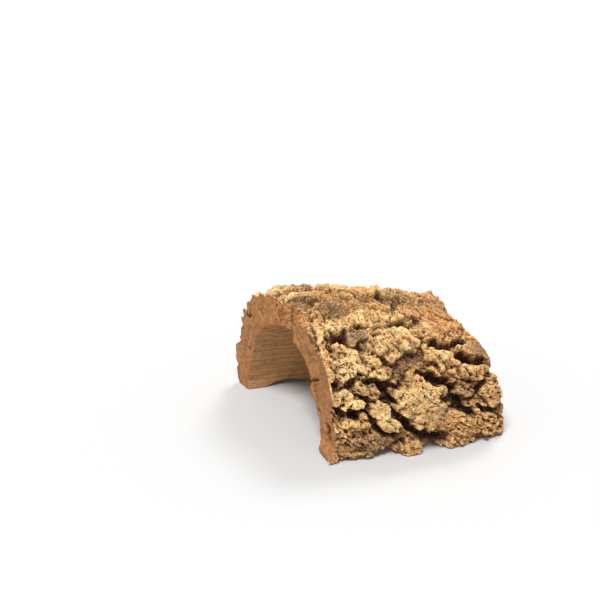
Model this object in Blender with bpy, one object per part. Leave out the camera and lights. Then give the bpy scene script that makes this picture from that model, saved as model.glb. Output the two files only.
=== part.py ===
"""Cork bark slab: one arched piece of virgin cork bark, as split off a trunk.

The slab is a natural solid in one piece, so it is one object. Its frame: X along the trunk, Y across the arch from the
front foot (-Y) to the back foot (+Y), Z up, with the floor at Z = 0. All sizes below are in millimetres.

The bark is mapped from a lattice (p along the trunk, q round the arch, w through the thickness) onto an arch. Its
plates, crevices and knobs are raised and cut by formulas in two flat coordinates: x along the trunk, and s, the
distance round the arch from the front foot.
"""

import math
import random
from typing import NamedTuple

import bmesh
import bpy
import numpy as np

MM = 0.001

# Driving sizes of the arch, which follow the smooth surface under the bark's relief
FRONT_LENGTH = 190.0
CROWN_LEFT = 129.0
CROWN_RIGHT = 98.0
CROWN_FALL_POWER = 1.5
FRONT_REACH = 103.0
FRONT_REACH_RIGHT = 94.0
FRONT_BOW = 8.0
BACK_REACH = 92.0
SECTION_POWER = 2.35
BARK_THICKNESS = 27.0
FOOT_THICKNESS = 17.0
FOOT_TAPER_HEIGHT = 55.0

# The left end: sawn a little askew on both legs, broken back over the crown, flared at the front foot
CUT_SKEW_DEG = 15.0
BITE_START = 148.0
BITE_END = 214.0
BITE_DEPTH = 8.0
FOOT_FLARE = 7.0
FOOT_FLARE_HEIGHT = 15.0

# The broken right end, pulled in towards the crown and at the back
RIGHT_END = 91.0
RIGHT_PULL_IN = 33.0
RIGHT_PULL_POWER = 4.0
BACK_PULL_IN = 14.0

# How far the two lower edges stand above the floor, as (x, height). Below zero the floor planes a flat foot.
FRONT_EDGE_LIFTS = ((-95, -3), (-84, -3), (-72, 2), (-56, 3), (-42, 8), (-33, 6), (-22, -3), (-8, -3), (4, 7), (14, 5),
                    (26, -3), (48, -3), (60, 2), (74, 1), (95, 4))
BACK_EDGE_LIFTS = ((-150, -3), (-128, -3), (-112, 4), (-92, 7), (-74, 2), (-58, -3), (-38, -3), (-20, 5), (0, 9),
                   (18, 3), (34, -3), (58, -3), (76, 5), (95, 6))
EDGE_ROUNDING = 3.0

# The middle of the slab on the floor, measured from the middle of the arch. It is the part's origin.
ORIGIN_X = -26.9
ORIGIN_Y = -6.7

# Relief that runs over the whole bark: width and height of each kind
SWELL = (42.0, 2.0)
LEVEL = 2.2
CRUMBS = (9.0, 1.3)
COARSE_WARP = (15.0, 3.0)
FINE_WARP = (5.5, 1.2)
PLATE_RIM = 3.2
PLATE_CROWNING = 0.16

# The plates and crevices of the back, which are drawn at random from one seed
BACK_START = 186.0
BACK_LEFT = -170.0
BACK_RIGHT = 110.0
BACK_SEED = 29
BACK_ROW_STEP = 15.0
BACK_PLATE_STEP = 27.0
BACK_PLATE_LENGTHS = (22, 62)
BACK_PLATE_WIDTHS = (11, 27)
BACK_PLATE_HEIGHTS = (2.0, 11.5)
BACK_CREVICE_COUNT = 17
BACK_CREVICE_STEP = 15.0

# Lattice the bark is mapped from, and how far it is thinned out afterwards
CELLS_ALONG = 70
CELLS_ROUND = 132
CELLS_THROUGH = 7
TARGET_TRIANGLES = 9800


class Plate(NamedTuple):
    """A raised piece of bark: its middle, size and turn on the flat surface, and how far it stands out."""

    x: float
    s: float
    length: float
    width: float
    turn_deg: float
    height: float


class Crevice(NamedTuple):
    """A cut between plates: the line it follows, its width and its depth below the plates."""

    line: tuple
    width: float
    depth: float


# Plates of the front, from the middle outwards
FRONT_PLATES = (
    Plate(-3, 53, 58, 44, -30, 12.5),
    Plate(32, 25, 54, 25, -38, 9.5),
    Plate(-43, 41, 36, 14, -52, 11),
    Plate(-79, 57, 31, 15, -12, 9.5),
    Plate(-58, 67, 21, 13, 10, 6.5),
    Plate(-36, 60, 24, 9, -48, 6),
    Plate(-77, 91, 42, 29, -20, 9),
    Plate(-43, 90, 30, 31, -45, 10),
    Plate(-24, 109, 62, 26, 12, 13),
    Plate(21, 98, 36, 19, -40, 9.5),
    Plate(41, 82, 24, 15, -35, 8),
    Plate(58, 78, 33, 17, -8, 14.5),
    Plate(47, 62, 26, 18, -62, 7.5),
    Plate(76, 56, 30, 23, -40, 10.5),
    Plate(68, 103, 36, 25, -35, 9.5),
    Plate(26, 129, 54, 35, -8, 8.5),
    Plate(40, 160, 38, 36, -60, 7.5),
    Plate(-40, 140, 60, 22, 5, 9),
    Plate(-80, 131, 40, 15, -3, 8.5),
    Plate(-80, 157, 38, 24, 10, 8),
    Plate(-32, 167, 42, 22, 0, 6.5),
    Plate(6, 158, 30, 26, 20, 6.5),
    Plate(-77, 32, 42, 15, 12, 8.5),
    Plate(-74, 11, 46, 20, 0, 6.5),
    Plate(-16, 6, 24, 18, -50, 10),
    Plate(64, 22, 44, 27, -20, 8.5),
    Plate(38, 6, 40, 15, -6, 8),
    Plate(-59, 117, 28, 13, 0, 6.5),
    Plate(-96, 112, 12, 26, 0, 7),
    Plate(-97, 76, 10, 34, 0, 6),
    Plate(-101, 7, 16, 18, 0, 10),
)

# Crevices of the front, from the one under the middle plate outwards
FRONT_CREVICES = (
    Crevice(((-44, 67), (-36, 52), (-29, 39), (-18, 26), (-4, 17), (14, 11)), 9, 17),
    Crevice(((-91, 49), (-78, 46), (-63, 47), (-55, 36), (-45, 25), (-30, 20)), 8.5, 14),
    Crevice(((-70, 62), (-60, 57), (-50, 56)), 5, 10),
    Crevice(((-92, 70), (-78, 69), (-68, 76), (-56, 75), (-42, 73), (-28, 68), (-22, 75)), 4.5, 9),
    Crevice(((-83, 115), (-75, 115.5)), 8, 17),
    Crevice(((-20, 130), (-8, 132), (4, 135), (12, 141)), 7, 9),
    Crevice(((-8, 125), (2, 117), (10, 109), (24, 108)), 5, 9),
    Crevice(((24, 109), (36, 107), (45, 98), (57, 92), (70, 88), (84, 83)), 11, 17),
    Crevice(((6, 77), (14, 75), (24, 70), (30, 63)), 10, 18),
    Crevice(((27, 55), (36, 50), (42, 42), (50, 35)), 11, 18),
    Crevice(((42, 51), (56, 56), (66, 66), (70, 74)), 6, 13),
    Crevice(((66, 38), (78, 38), (94, 42)), 6, 11),
    Crevice(((-20, 20), (0, 15), (18, 12)), 13, 8),
    Crevice(((-44, -4), (-36, 8), (-24, 17)), 7, 7),
    Crevice(((6, -4), (9, 6), (4, 14)), 8, 9),
    Crevice(((-67, 143), (-58, 145), (-51, 151)), 4.5, 8),
    Crevice(((-37, 134), (-22, 137)), 4, 5),
    Crevice(((-62, 105), (-59, 93), (-51, 83)), 4, 6),
    Crevice(((-50, 99), (-38, 90), (-28, 86)), 4, 6),
    Crevice(((44, 144), (49, 145)), 6, 8),
    Crevice(((48, 113), (53, 114)), 6, 8),
    Crevice(((-98, 106), (-97, 114)), 5, 9),
    Crevice(((-98, 158), (-88, 168), (-70, 172)), 6, 8),
    Crevice(((-16, 150), (-4, 165), (4, 180)), 6, 8),
)


def scattered_plates(arc_length):
    """Plates of mixed sizes over the back, in loose rows along the trunk."""
    draw = random.Random(BACK_SEED)
    plates = []
    s = BACK_START
    while s < arc_length + BACK_ROW_STEP:
        x = BACK_LEFT + draw.uniform(0, BACK_PLATE_STEP)
        while x < BACK_RIGHT:
            plates.append(Plate(x + draw.uniform(-9, 9), s + draw.uniform(-7, 7), draw.uniform(*BACK_PLATE_LENGTHS),
                                draw.uniform(*BACK_PLATE_WIDTHS), draw.gauss(-14, 22),
                                draw.uniform(*BACK_PLATE_HEIGHTS)))
            x += BACK_PLATE_STEP * draw.uniform(0.7, 1.5)
        s += BACK_ROW_STEP
    return tuple(plates)


def scattered_crevices(arc_length):
    """Crevices that wander over the back, mostly along the trunk."""
    draw = random.Random(BACK_SEED + 1)
    crevices = []
    for _ in range(BACK_CREVICE_COUNT):
        x, s = draw.uniform(BACK_LEFT + 20, BACK_RIGHT - 40), draw.uniform(BACK_START + 8, arc_length + 4)
        heading = draw.gauss(-0.25, 0.5)
        line = [(x, s)]
        for _ in range(draw.randint(2, 4)):
            heading += draw.gauss(0, 0.45)
            x, s = x + BACK_CREVICE_STEP * math.cos(heading), s + BACK_CREVICE_STEP * math.sin(heading)
            line.append((x, s))
        crevices.append(Crevice(tuple(line), draw.uniform(5, 10), draw.uniform(7, 14)))
    return tuple(crevices)


def smoothstep(low, high, value):
    """0 below low, 1 above high, and a smooth S between them. With low above high it falls instead."""
    t = np.clip((value - low) / (high - low), 0.0, 1.0)
    return t * t * (3.0 - 2.0 * t)


def lattice_random(ix, iy, seed):
    """A number from 0 to 1 for each whole-number point, the same on every run."""
    h = (ix * 374761393 + iy * 668265263 + seed * 974634777) & 0xFFFFFFFF
    h = ((h ^ (h >> 13)) * 1274126177) & 0xFFFFFFFF
    h = ((h ^ (h >> 15)) * 2246822519) & 0xFFFFFFFF
    return (h ^ (h >> 16)) / 4294967296.0


def gradient_noise(x, y, seed):
    """Smooth noise from about -1 to 1, with features about one unit across."""
    ix, iy = np.floor(x).astype(np.int64), np.floor(y).astype(np.int64)
    fx, fy = x - ix, y - iy
    ux = fx * fx * fx * (fx * (fx * 6 - 15) + 10)
    uy = fy * fy * fy * (fy * (fy * 6 - 15) + 10)
    corners = []
    for dx, dy in ((0, 0), (1, 0), (0, 1), (1, 1)):
        angle = 2 * np.pi * lattice_random(ix + dx, iy + dy, seed)
        corners.append(np.cos(angle) * (fx - dx) + np.sin(angle) * (fy - dy))
    low = corners[0] + ux * (corners[1] - corners[0])
    high = corners[2] + ux * (corners[3] - corners[2])
    return 1.5 * (low + uy * (high - low))


def section(x, t):
    """The outer arch at x along the trunk: (y, z) at the angle t, from 0 at the front foot to pi at the back foot."""
    u = np.clip((x + FRONT_LENGTH / 2) / FRONT_LENGTH, 0.0, 1.15)
    crown = CROWN_LEFT + (CROWN_RIGHT - CROWN_LEFT) * u**CROWN_FALL_POWER
    bow = FRONT_BOW * np.sin(np.pi * np.clip(u, 0, 1))
    front = FRONT_REACH + (FRONT_REACH_RIGHT - FRONT_REACH) * u + bow
    reach = np.where(t < np.pi / 2, front, BACK_REACH)
    c, z = np.cos(t), np.abs(np.sin(t))
    return -reach * np.sign(c) * np.abs(c) ** (2 / SECTION_POWER), crown * z ** (2 / SECTION_POWER)


def arc_table():
    """Angles and the distance round the arch that each has at the middle of the slab."""
    t = np.linspace(0.0, np.pi, 2001)
    y, z = section(np.zeros_like(t), t)
    return t, np.concatenate([[0.0], np.cumsum(np.hypot(np.diff(y), np.diff(z)))])


ARC_ANGLES, ARC_DISTANCES = arc_table()
ARC_LENGTH = float(ARC_DISTANCES[-1])
CROWN_MIDDLE = float(section(np.zeros(1), np.array([np.pi / 2]))[1][0])
PLATES = FRONT_PLATES + scattered_plates(ARC_LENGTH)
CREVICES = FRONT_CREVICES + scattered_crevices(ARC_LENGTH)


def angle_at(s):
    """The arch's angle at the distance s round it."""
    return np.interp(np.clip(s, 0.0, ARC_LENGTH), ARC_DISTANCES, ARC_ANGLES)


def on_arch(x, s):
    """(y, z) of the smooth arch, and its outward direction (ny, nz). Past either foot the wall runs on straight down."""
    y, z = section(x, angle_at(s))
    z = z + np.minimum(np.where(s < 0, s, ARC_LENGTH - s), 0.0)
    inside = np.clip(s, 0.0, ARC_LENGTH)
    before = section(x, angle_at(inside - 1.0))
    after = section(x, angle_at(inside + 1.0))
    ty, tz = after[0] - before[0], after[1] - before[1]
    size = np.hypot(ty, tz)
    return y, z, -tz / size, ty / size


def left_end_x(y, s):
    """x of the left end at each point."""
    plane = -FRONT_LENGTH / 2 - np.tan(np.radians(CUT_SKEW_DEG)) * (y + FRONT_REACH)
    bite = smoothstep(BITE_START, BITE_START + 5, s) * smoothstep(BITE_END, BITE_END - 12, s)
    ragged = 1 + 0.35 * gradient_noise(s / 12, 0 * s, 63)
    return plane + BITE_DEPTH * bite * ragged - FOOT_FLARE * smoothstep(FOOT_FLARE_HEIGHT, 2, s)


def right_end_x(s):
    """x of the right end at each point."""
    height = section(0 * s, angle_at(s))[1] / CROWN_MIDDLE
    at_back = smoothstep(0.55, 0.95, s / ARC_LENGTH)
    ragged = 4.0 * gradient_noise(s / 19, 0 * s, 61) + 2.2 * gradient_noise(s / 7, 0 * s, 62)
    return RIGHT_END - RIGHT_PULL_IN * height**RIGHT_PULL_POWER - BACK_PULL_IN * at_back + ragged


def edge_lift(x, lifts):
    """How far the lower edge stands above the floor at x."""
    at, lift = zip(*lifts)
    return np.interp(x, at, lift)


def plates_height(x, s):
    """Height of the highest plate at each point."""
    height = np.zeros(x.shape)
    for plate in PLATES:
        turn = np.radians(plate.turn_deg)
        along = (x - plate.x) * np.cos(turn) + (s - plate.s) * np.sin(turn)
        across = (s - plate.s) * np.cos(turn) - (x - plate.x) * np.sin(turn)
        far = ((np.abs(along) / (plate.length / 2)) ** 3 + (np.abs(across) / (plate.width / 2)) ** 3) ** (1 / 3)
        rim = PLATE_RIM / plate.width
        shape = smoothstep(1.0 + rim, 1.0 - rim, far) * (1.0 - PLATE_CROWNING * np.minimum(far, 1.0) ** 2)
        height = np.maximum(height, plate.height * shape)
    return height


def crevices_depth(x, s):
    """Depth of the deepest crevice at each point."""
    depth = np.zeros(x.shape)
    for crevice in CREVICES:
        far = np.full(x.shape, np.inf)
        for (x0, s0), (x1, s1) in zip(crevice.line[:-1], crevice.line[1:]):
            dx, ds = x1 - x0, s1 - s0
            share = np.clip(((x - x0) * dx + (s - s0) * ds) / (dx * dx + ds * ds), 0, 1)
            far = np.minimum(far, np.hypot(x - x0 - share * dx, s - s0 - share * ds))
        depth = np.maximum(depth, crevice.depth * smoothstep(crevice.width * 0.72, crevice.width * 0.2, far))
    return depth


def spread_noise(x, s, kind, seed):
    """Noise of one kind, (width, height), over the flat surface."""
    width, height = kind
    return height * gradient_noise(x / width, s / width, seed)


def outer_relief(x, s):
    """How far the bark stands out of the smooth arch at each point."""
    wx = x + spread_noise(x, s, COARSE_WARP, 1) + spread_noise(x, s, FINE_WARP, 2)
    ws = s + spread_noise(x, s, COARSE_WARP, 3) + spread_noise(x, s, FINE_WARP, 4)
    level = LEVEL + spread_noise(x, s, SWELL, 5)
    return np.maximum(level, plates_height(wx, ws)) - crevices_depth(wx, ws) + spread_noise(wx, ws, CRUMBS, 7)


def inner_relief(x, s):
    """How far the inner side wavers from a plain offset: long low ridges along the trunk."""
    return 1.6 * gradient_noise(x / 55, s / 16, 31) + 0.7 * gradient_noise(x / 30, s / 6, 32)


def wall_thickness(x, s):
    """Thickness of the bark under its relief: thinner towards the two lower edges."""
    from_edge = np.minimum(s, ARC_LENGTH - s)
    taper = smoothstep(0, FOOT_TAPER_HEIGHT, from_edge)
    return FOOT_THICKNESS + (BARK_THICKNESS - FOOT_THICKNESS) * taper + 1.5 * gradient_noise(x / 40, s / 40, 33)


def lattice_place(p, q, w):
    """The lattice's point (p, q, w) on the flat surface, as (x, s), inside the slab's real outline.

    Each end's x depends on where the point is, and the other way round, so a few rounds bring them together.
    """
    x = -FRONT_LENGTH / 2 + FRONT_LENGTH * p
    for _ in range(6):
        front = edge_lift(x, FRONT_EDGE_LIFTS)
        back = ARC_LENGTH - edge_lift(x, BACK_EDGE_LIFTS)
        s = front + (back - front) * q
        y, _, ny, _ = on_arch(x, s)
        left = left_end_x(y - ny * (1 - w) * wall_thickness(x, s), s)
        x = left + (right_end_x(s) - left) * p
    return x, s


def bark_point(p, q, w):
    """The lattice's point (p, q, w) in space, in millimetres. w runs from 0 on the inner side to 1 on the bark."""
    x, s = lattice_place(p, q, w)
    y, z, ny, nz = on_arch(x, s)
    inside = inner_relief(x, s) - wall_thickness(x, s)
    out = inside + (outer_relief(x, s) - inside) * w
    y, z = y + ny * out, z + nz * out
    middle = 4 * w * (1 - w)
    broken = 3.0 + 2.6 * gradient_noise(s / 9, 6 * w, 41) + 1.4 * gradient_noise(s / 4, 9 * w, 42)
    x = x + smoothstep(0.9, 1.0, p) * middle * broken
    rounded = smoothstep(0.03, 0.0, q) + smoothstep(0.97, 1.0, q)
    z = z - rounded * middle * EDGE_ROUNDING
    x = np.where(p == 0, left_end_x(y, s), x)
    return np.stack([x - ORIGIN_X, y - ORIGIN_Y, z], axis=-1)


def lattice_shell():
    """Corners of the lattice's outside, as (p, q, w) steps, and its four-sided faces, all facing out."""
    steps = (CELLS_ALONG, CELLS_ROUND, CELLS_THROUGH)
    corners, faces = {}, []
    for axis in range(3):
        first, second = (axis + 1) % 3, (axis + 2) % 3
        for side in (0, steps[axis]):
            for i in range(steps[first]):
                for j in range(steps[second]):
                    ring = []
                    for di, dj in ((0, 0), (1, 0), (1, 1), (0, 1)):
                        at = [side, side, side]
                        at[first], at[second] = i + di, j + dj
                        ring.append(corners.setdefault(tuple(at), len(corners)))
                    faces.append(ring if side else ring[::-1])
    return np.array(list(corners)), faces


def bark_material():
    """Dry, pale, matt cork."""
    material = bpy.data.materials.new("cork_bark")
    material.use_nodes = True
    shader = material.node_tree.nodes["Principled BSDF"]
    shader.inputs["Base Color"].default_value = (0.52, 0.36, 0.19, 1.0)
    shader.inputs["Roughness"].default_value = 0.92
    shader.inputs["Metallic"].default_value = 0.0
    return material


def floor_cutter():
    """A block below the floor, which planes the feet flat."""
    mesh = bpy.data.meshes.new("floor_cutter")
    shape = bmesh.new()
    bmesh.ops.create_cube(shape, size=1.0)
    bmesh.ops.scale(shape, vec=(0.5, 0.5, 0.1), verts=shape.verts)
    bmesh.ops.translate(shape, vec=(0, 0, -0.05), verts=shape.verts)
    shape.to_mesh(mesh)
    shape.free()
    cutter = bpy.data.objects.new("floor_cutter", mesh)
    cutter.hide_render = True
    cutter.display_type = "WIRE"
    bpy.context.scene.collection.objects.link(cutter)
    return cutter


def bark_slab():
    """The whole slab, thinned to few faces and planed flat where it stands on the floor."""
    corners, faces = lattice_shell()
    p, q, w = (corners / (CELLS_ALONG, CELLS_ROUND, CELLS_THROUGH)).T
    mesh = bpy.data.meshes.new("cork_bark")
    mesh.from_pydata((bark_point(p, q, w) * MM).tolist(), [], faces)
    mesh.materials.append(bark_material())
    slab = bpy.data.objects.new("cork_bark", mesh)
    bpy.context.scene.collection.objects.link(slab)
    thin = slab.modifiers.new("fewer_faces", "DECIMATE")
    thin.decimate_type = "COLLAPSE"
    thin.ratio = TARGET_TRIANGLES / (2 * len(faces))
    thin.use_collapse_triangulate = True
    planed = slab.modifiers.new("planed_feet", "BOOLEAN")
    planed.operation = "DIFFERENCE"
    planed.object = floor_cutter()
    return slab


for old in list(bpy.data.objects):
    bpy.data.objects.remove(old)
bark_slab()
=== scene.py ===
"""Looks of the cork bark slab, and the studio that it is shown in.

The slab is one arched piece of virgin cork bark, as split off a trunk. It is mapped from a lattice (p along
the trunk, q round the arch, w through the thickness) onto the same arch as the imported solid. Relief is given
in two flat coordinates, in millimetres: x along the trunk, and s, the distance round the arch from the front
foot.
"""

import logging
import math
import random
from dataclasses import dataclass, field
from enum import Enum
from functools import cached_property
from typing import ClassVar, NamedTuple, Sequence

import bmesh
import bpy
import numpy as np
from mathutils import Matrix, Vector


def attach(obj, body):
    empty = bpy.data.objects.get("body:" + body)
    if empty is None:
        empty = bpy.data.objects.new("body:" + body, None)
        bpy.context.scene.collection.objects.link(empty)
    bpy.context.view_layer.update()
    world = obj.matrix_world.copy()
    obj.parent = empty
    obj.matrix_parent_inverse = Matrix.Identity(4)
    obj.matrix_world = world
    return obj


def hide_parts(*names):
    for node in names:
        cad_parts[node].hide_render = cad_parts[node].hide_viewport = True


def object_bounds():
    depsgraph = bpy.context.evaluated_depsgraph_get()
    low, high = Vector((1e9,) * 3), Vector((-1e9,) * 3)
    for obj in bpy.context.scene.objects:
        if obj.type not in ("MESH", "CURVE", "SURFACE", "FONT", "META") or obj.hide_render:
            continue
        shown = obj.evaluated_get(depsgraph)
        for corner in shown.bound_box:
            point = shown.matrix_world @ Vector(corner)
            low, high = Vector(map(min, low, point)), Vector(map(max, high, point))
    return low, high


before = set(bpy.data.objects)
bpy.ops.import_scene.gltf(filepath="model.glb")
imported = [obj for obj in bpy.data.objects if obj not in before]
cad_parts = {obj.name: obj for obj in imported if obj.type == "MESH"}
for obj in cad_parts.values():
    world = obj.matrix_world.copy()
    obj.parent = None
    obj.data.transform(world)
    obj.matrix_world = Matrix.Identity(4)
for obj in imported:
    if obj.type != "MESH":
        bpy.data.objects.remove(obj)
CAD_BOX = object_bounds()

MM = 0.001
NODE = "cork_bark"
BODY = "root"

Array = np.ndarray
Socket = bpy.types.NodeSocket
Colour = tuple[float, float, float]

log = logging.getLogger("cork_bark_slab")


class Side(Enum):
    """The sides of the slab, each with the index of its material."""

    BARK = 0
    BELLY = 1
    SAWN_END = 2
    BROKEN = 3


class Tone(Enum):
    """Weathering of the bark. The value is the name of the mesh attribute that holds it."""

    BLEACHED = "tone_bleached"
    WEATHERED = "tone_weathered"
    RUSTY = "tone_rusty"


class Plate(NamedTuple):
    """A raised piece of bark: its middle, size and turn on the flat surface, and how far it stands out."""

    x: float
    s: float
    length: float
    width: float
    turn_deg: float
    height: float


class Crevice(NamedTuple):
    """A cut between plates: the line it follows, its width and its depth below the plates."""

    line: tuple[tuple[float, float], ...]
    width: float
    depth: float


class Spot(NamedTuple):
    """A patch of one tone: its middle, size and turn on the flat surface, and how strong it is."""

    tone: Tone
    x: float
    s: float
    length: float
    width: float
    turn_deg: float
    strength: float


class Nick(NamedTuple):
    """A dent in the sawn end: its middle round the arch and out from the belly, its sizes and its depth."""

    s: float
    out: float
    length: float
    width: float
    depth: float


class Wave(NamedTuple):
    """One noise: how long and wide its features are, how high, where it starts, and its octaves."""

    length: float
    width: float
    height: float
    seed: int
    octaves: int = 1


class EndWave(NamedTuple):
    """One noise of an end: its length round the arch, how many fit through the bark, and the same again."""

    length: float
    count: float
    height: float
    seed: int
    octaves: int = 1


class Cells(NamedTuple):
    """A pattern of cells: their length and width, and where it starts."""

    length: float
    width: float
    seed: int


class Slip(NamedTuple):
    """Pieces that have slipped: their length and width, how far they slip at most, and where it starts."""

    length: float
    width: float
    furthest: float
    seed: int


class Blocks(NamedTuple):
    """A layer of broken blocks.

    It has their length and width, their height and lean, the share that calm bark keeps, whether they lie
    along the fibres that run askew, and where the pattern starts.
    """

    length: float
    width: float
    height: float
    lean: float
    calm_share: float
    askew: bool
    seed: int


class Noise:
    """Smooth and cellular noise over flat coordinates, the same on every run."""

    MIXERS = (374761393, 668265263, 974634777, 1274126177, 2246822519)
    ALL_BITS = 0xFFFFFFFF
    FULL_HEIGHT = 1.5
    CELL_MARGIN = 0.1

    @staticmethod
    def smoothstep(low: float, high: float, value: Array) -> Array:
        """0 below low, 1 above high, and a smooth S between them. With low above high it falls instead."""
        t = np.clip((value - low) / (high - low), 0.0, 1.0)
        return t * t * (3.0 - 2.0 * t)

    @staticmethod
    def hashed(ix: Array, iy: Array, seed: int) -> Array:
        """A number from 0 to 1 for each whole-number point."""
        mix_x, mix_y, mix_seed, mix_first, mix_last = Noise.MIXERS
        h = (ix * mix_x + iy * mix_y + seed * mix_seed) & Noise.ALL_BITS
        h = ((h ^ (h >> 13)) * mix_first) & Noise.ALL_BITS
        h = ((h ^ (h >> 15)) * mix_last) & Noise.ALL_BITS
        return (h ^ (h >> 16)) / (Noise.ALL_BITS + 1.0)

    @staticmethod
    def gradient(x: Array, y: Array, seed: int) -> Array:
        """Smooth noise from about -1 to 1, with features about one unit across."""
        ix, iy = np.floor(x).astype(np.int64), np.floor(y).astype(np.int64)
        fx, fy = x - ix, y - iy
        ux = fx * fx * fx * (fx * (fx * 6 - 15) + 10)
        uy = fy * fy * fy * (fy * (fy * 6 - 15) + 10)
        corners = []
        for dx, dy in ((0, 0), (1, 0), (0, 1), (1, 1)):
            angle = 2 * np.pi * Noise.hashed(ix + dx, iy + dy, seed)
            corners.append(np.cos(angle) * (fx - dx) + np.sin(angle) * (fy - dy))
        low = corners[0] + ux * (corners[1] - corners[0])
        high = corners[2] + ux * (corners[3] - corners[2])
        return Noise.FULL_HEIGHT * (low + uy * (high - low))

    @staticmethod
    def fractal(x: Array, y: Array, seed: int, octaves: int) -> Array:
        """Gradient noise summed over octaves, each half as wide and half as high as the last."""
        total = np.zeros(np.shape(x))
        for octave in range(octaves):
            total = total + Noise.gradient(x * 2**octave, y * 2**octave, seed + octave) / 2**octave
        return total

    @staticmethod
    def wave(x: Array, y: Array, wave: Wave) -> Array:
        """Smooth noise of the sizes and the height that the wave gives."""
        return wave.height * Noise.fractal(x / wave.length, y / wave.width, wave.seed, wave.octaves)

    @staticmethod
    def end_wave(s: Array, w: Array, wave: EndWave) -> Array:
        """Smooth noise over an end, at s round the arch and at the share w of the way through the bark."""
        return wave.height * Noise.fractal(s / wave.length, wave.count * w, wave.seed, wave.octaves)

    @staticmethod
    def nearest(x: Array, y: Array, seed: int) -> tuple[Array, Array, Array, Array, Array, Array]:
        """The nearest of scattered middles, one to each unit square.

        Args:
            x: First coordinate of each point.
            y: Second coordinate of each point.
            seed: Chooses the pattern.

        Returns:
            How far off the nearest middle and the next one are, the way to the nearest one along x and y, and
            the column and row of its square.
        """
        ix, iy = np.floor(x).astype(np.int64), np.floor(y).astype(np.int64)
        first, second = np.full(x.shape, np.inf), np.full(x.shape, np.inf)
        to_x, to_y, column, row = np.zeros(x.shape), np.zeros(x.shape), ix, iy
        room = 1 - 2 * Noise.CELL_MARGIN
        for dx in (-1, 0, 1):
            for dy in (-1, 0, 1):
                cx, cy = ix + dx, iy + dy
                px = cx + Noise.CELL_MARGIN + room * Noise.hashed(cx, cy, seed) - x
                py = cy + Noise.CELL_MARGIN + room * Noise.hashed(cx, cy, seed + 1) - y
                far = np.hypot(px, py)
                nearer = far < first
                second = np.where(nearer, first, np.minimum(second, far))
                first = np.where(nearer, far, first)
                to_x, to_y = np.where(nearer, px, to_x), np.where(nearer, py, to_y)
                column, row = np.where(nearer, cx, column), np.where(nearer, cy, row)
        return first, second, to_x, to_y, column, row

    @staticmethod
    def cells(x: Array, y: Array, cells: Cells) -> tuple[Array, Array, Array]:
        """Irregular cells.

        Args:
            x: First coordinate of each point.
            y: Second coordinate of each point.
            cells: The cells' sizes and pattern.

        Returns:
            How near each point is to its cell's border (0 on it), how far it is from the cell's middle, both
            in cells, and a number from 0 to 1 that is the same all over the cell.
        """
        first, second, _, _, column, row = Noise.nearest(x / cells.length, y / cells.width, cells.seed)
        return second - first, first, Noise.hashed(column, row, cells.seed + 2)

    @staticmethod
    def facets(x: Array, y: Array, blocks: Blocks) -> Array:
        """Broken blocks, each flat, tilted its own way and set at its own height.

        Args:
            x: First coordinate of each point.
            y: Second coordinate of each point.
            blocks: The blocks' sizes, lean and pattern.

        Returns:
            The height of each point above or below 0, as a share of the blocks' own height.
        """
        seed = blocks.seed
        _, _, to_x, to_y, column, row = Noise.nearest(x / blocks.length, y / blocks.width, seed)
        facing = 2 * np.pi * Noise.hashed(column, row, seed + 2)
        height = 2 * Noise.hashed(column, row, seed + 3) - 1
        return height + blocks.lean * (to_x * np.cos(facing) + to_y * np.sin(facing))

    @staticmethod
    def slipped(x: Array, y: Array, slip: Slip) -> tuple[Array, Array]:
        """The coordinates cut into pieces that have each slipped a little, like a cracked crust.

        Args:
            x: First coordinate of each point.
            y: Second coordinate of each point.
            slip: The pieces' sizes and pattern, and how far they slip.

        Returns:
            The two coordinates of each point, as they were before the pieces slipped.
        """
        _, _, _, _, column, row = Noise.nearest(x / slip.length, y / slip.width, slip.seed)
        slip_x = slip.furthest * (2 * Noise.hashed(column, row, slip.seed + 2) - 1)
        slip_y = slip.furthest * (2 * Noise.hashed(column, row, slip.seed + 3) - 1)
        return x + slip_x, y + slip_y

    @staticmethod
    def blurred(grid: Array, passes: int) -> Array:
        """The grid with each value averaged with its neighbours, as many times as passes."""
        for _ in range(passes):
            wide = np.pad(grid, ((1, 1), (0, 0)), mode="edge")
            grid = 0.5 * grid + 0.25 * (wide[:-2] + wide[2:])
            tall = np.pad(grid, ((0, 0), (1, 1)), mode="edge")
            grid = 0.5 * grid + 0.25 * (tall[:, :-2] + tall[:, 2:])
        return grid

    @staticmethod
    def despiked(grid: Array, above: float, below: float) -> Array:
        """The grid with no value further above or below than this from the median of the nine round it."""
        wide = np.pad(grid, 1, mode="edge")
        rows, columns = grid.shape
        middle = np.median([wide[i:i + rows, j:j + columns] for i in range(3) for j in range(3)], axis=0)
        return np.clip(grid, middle - below, middle + above)


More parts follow.
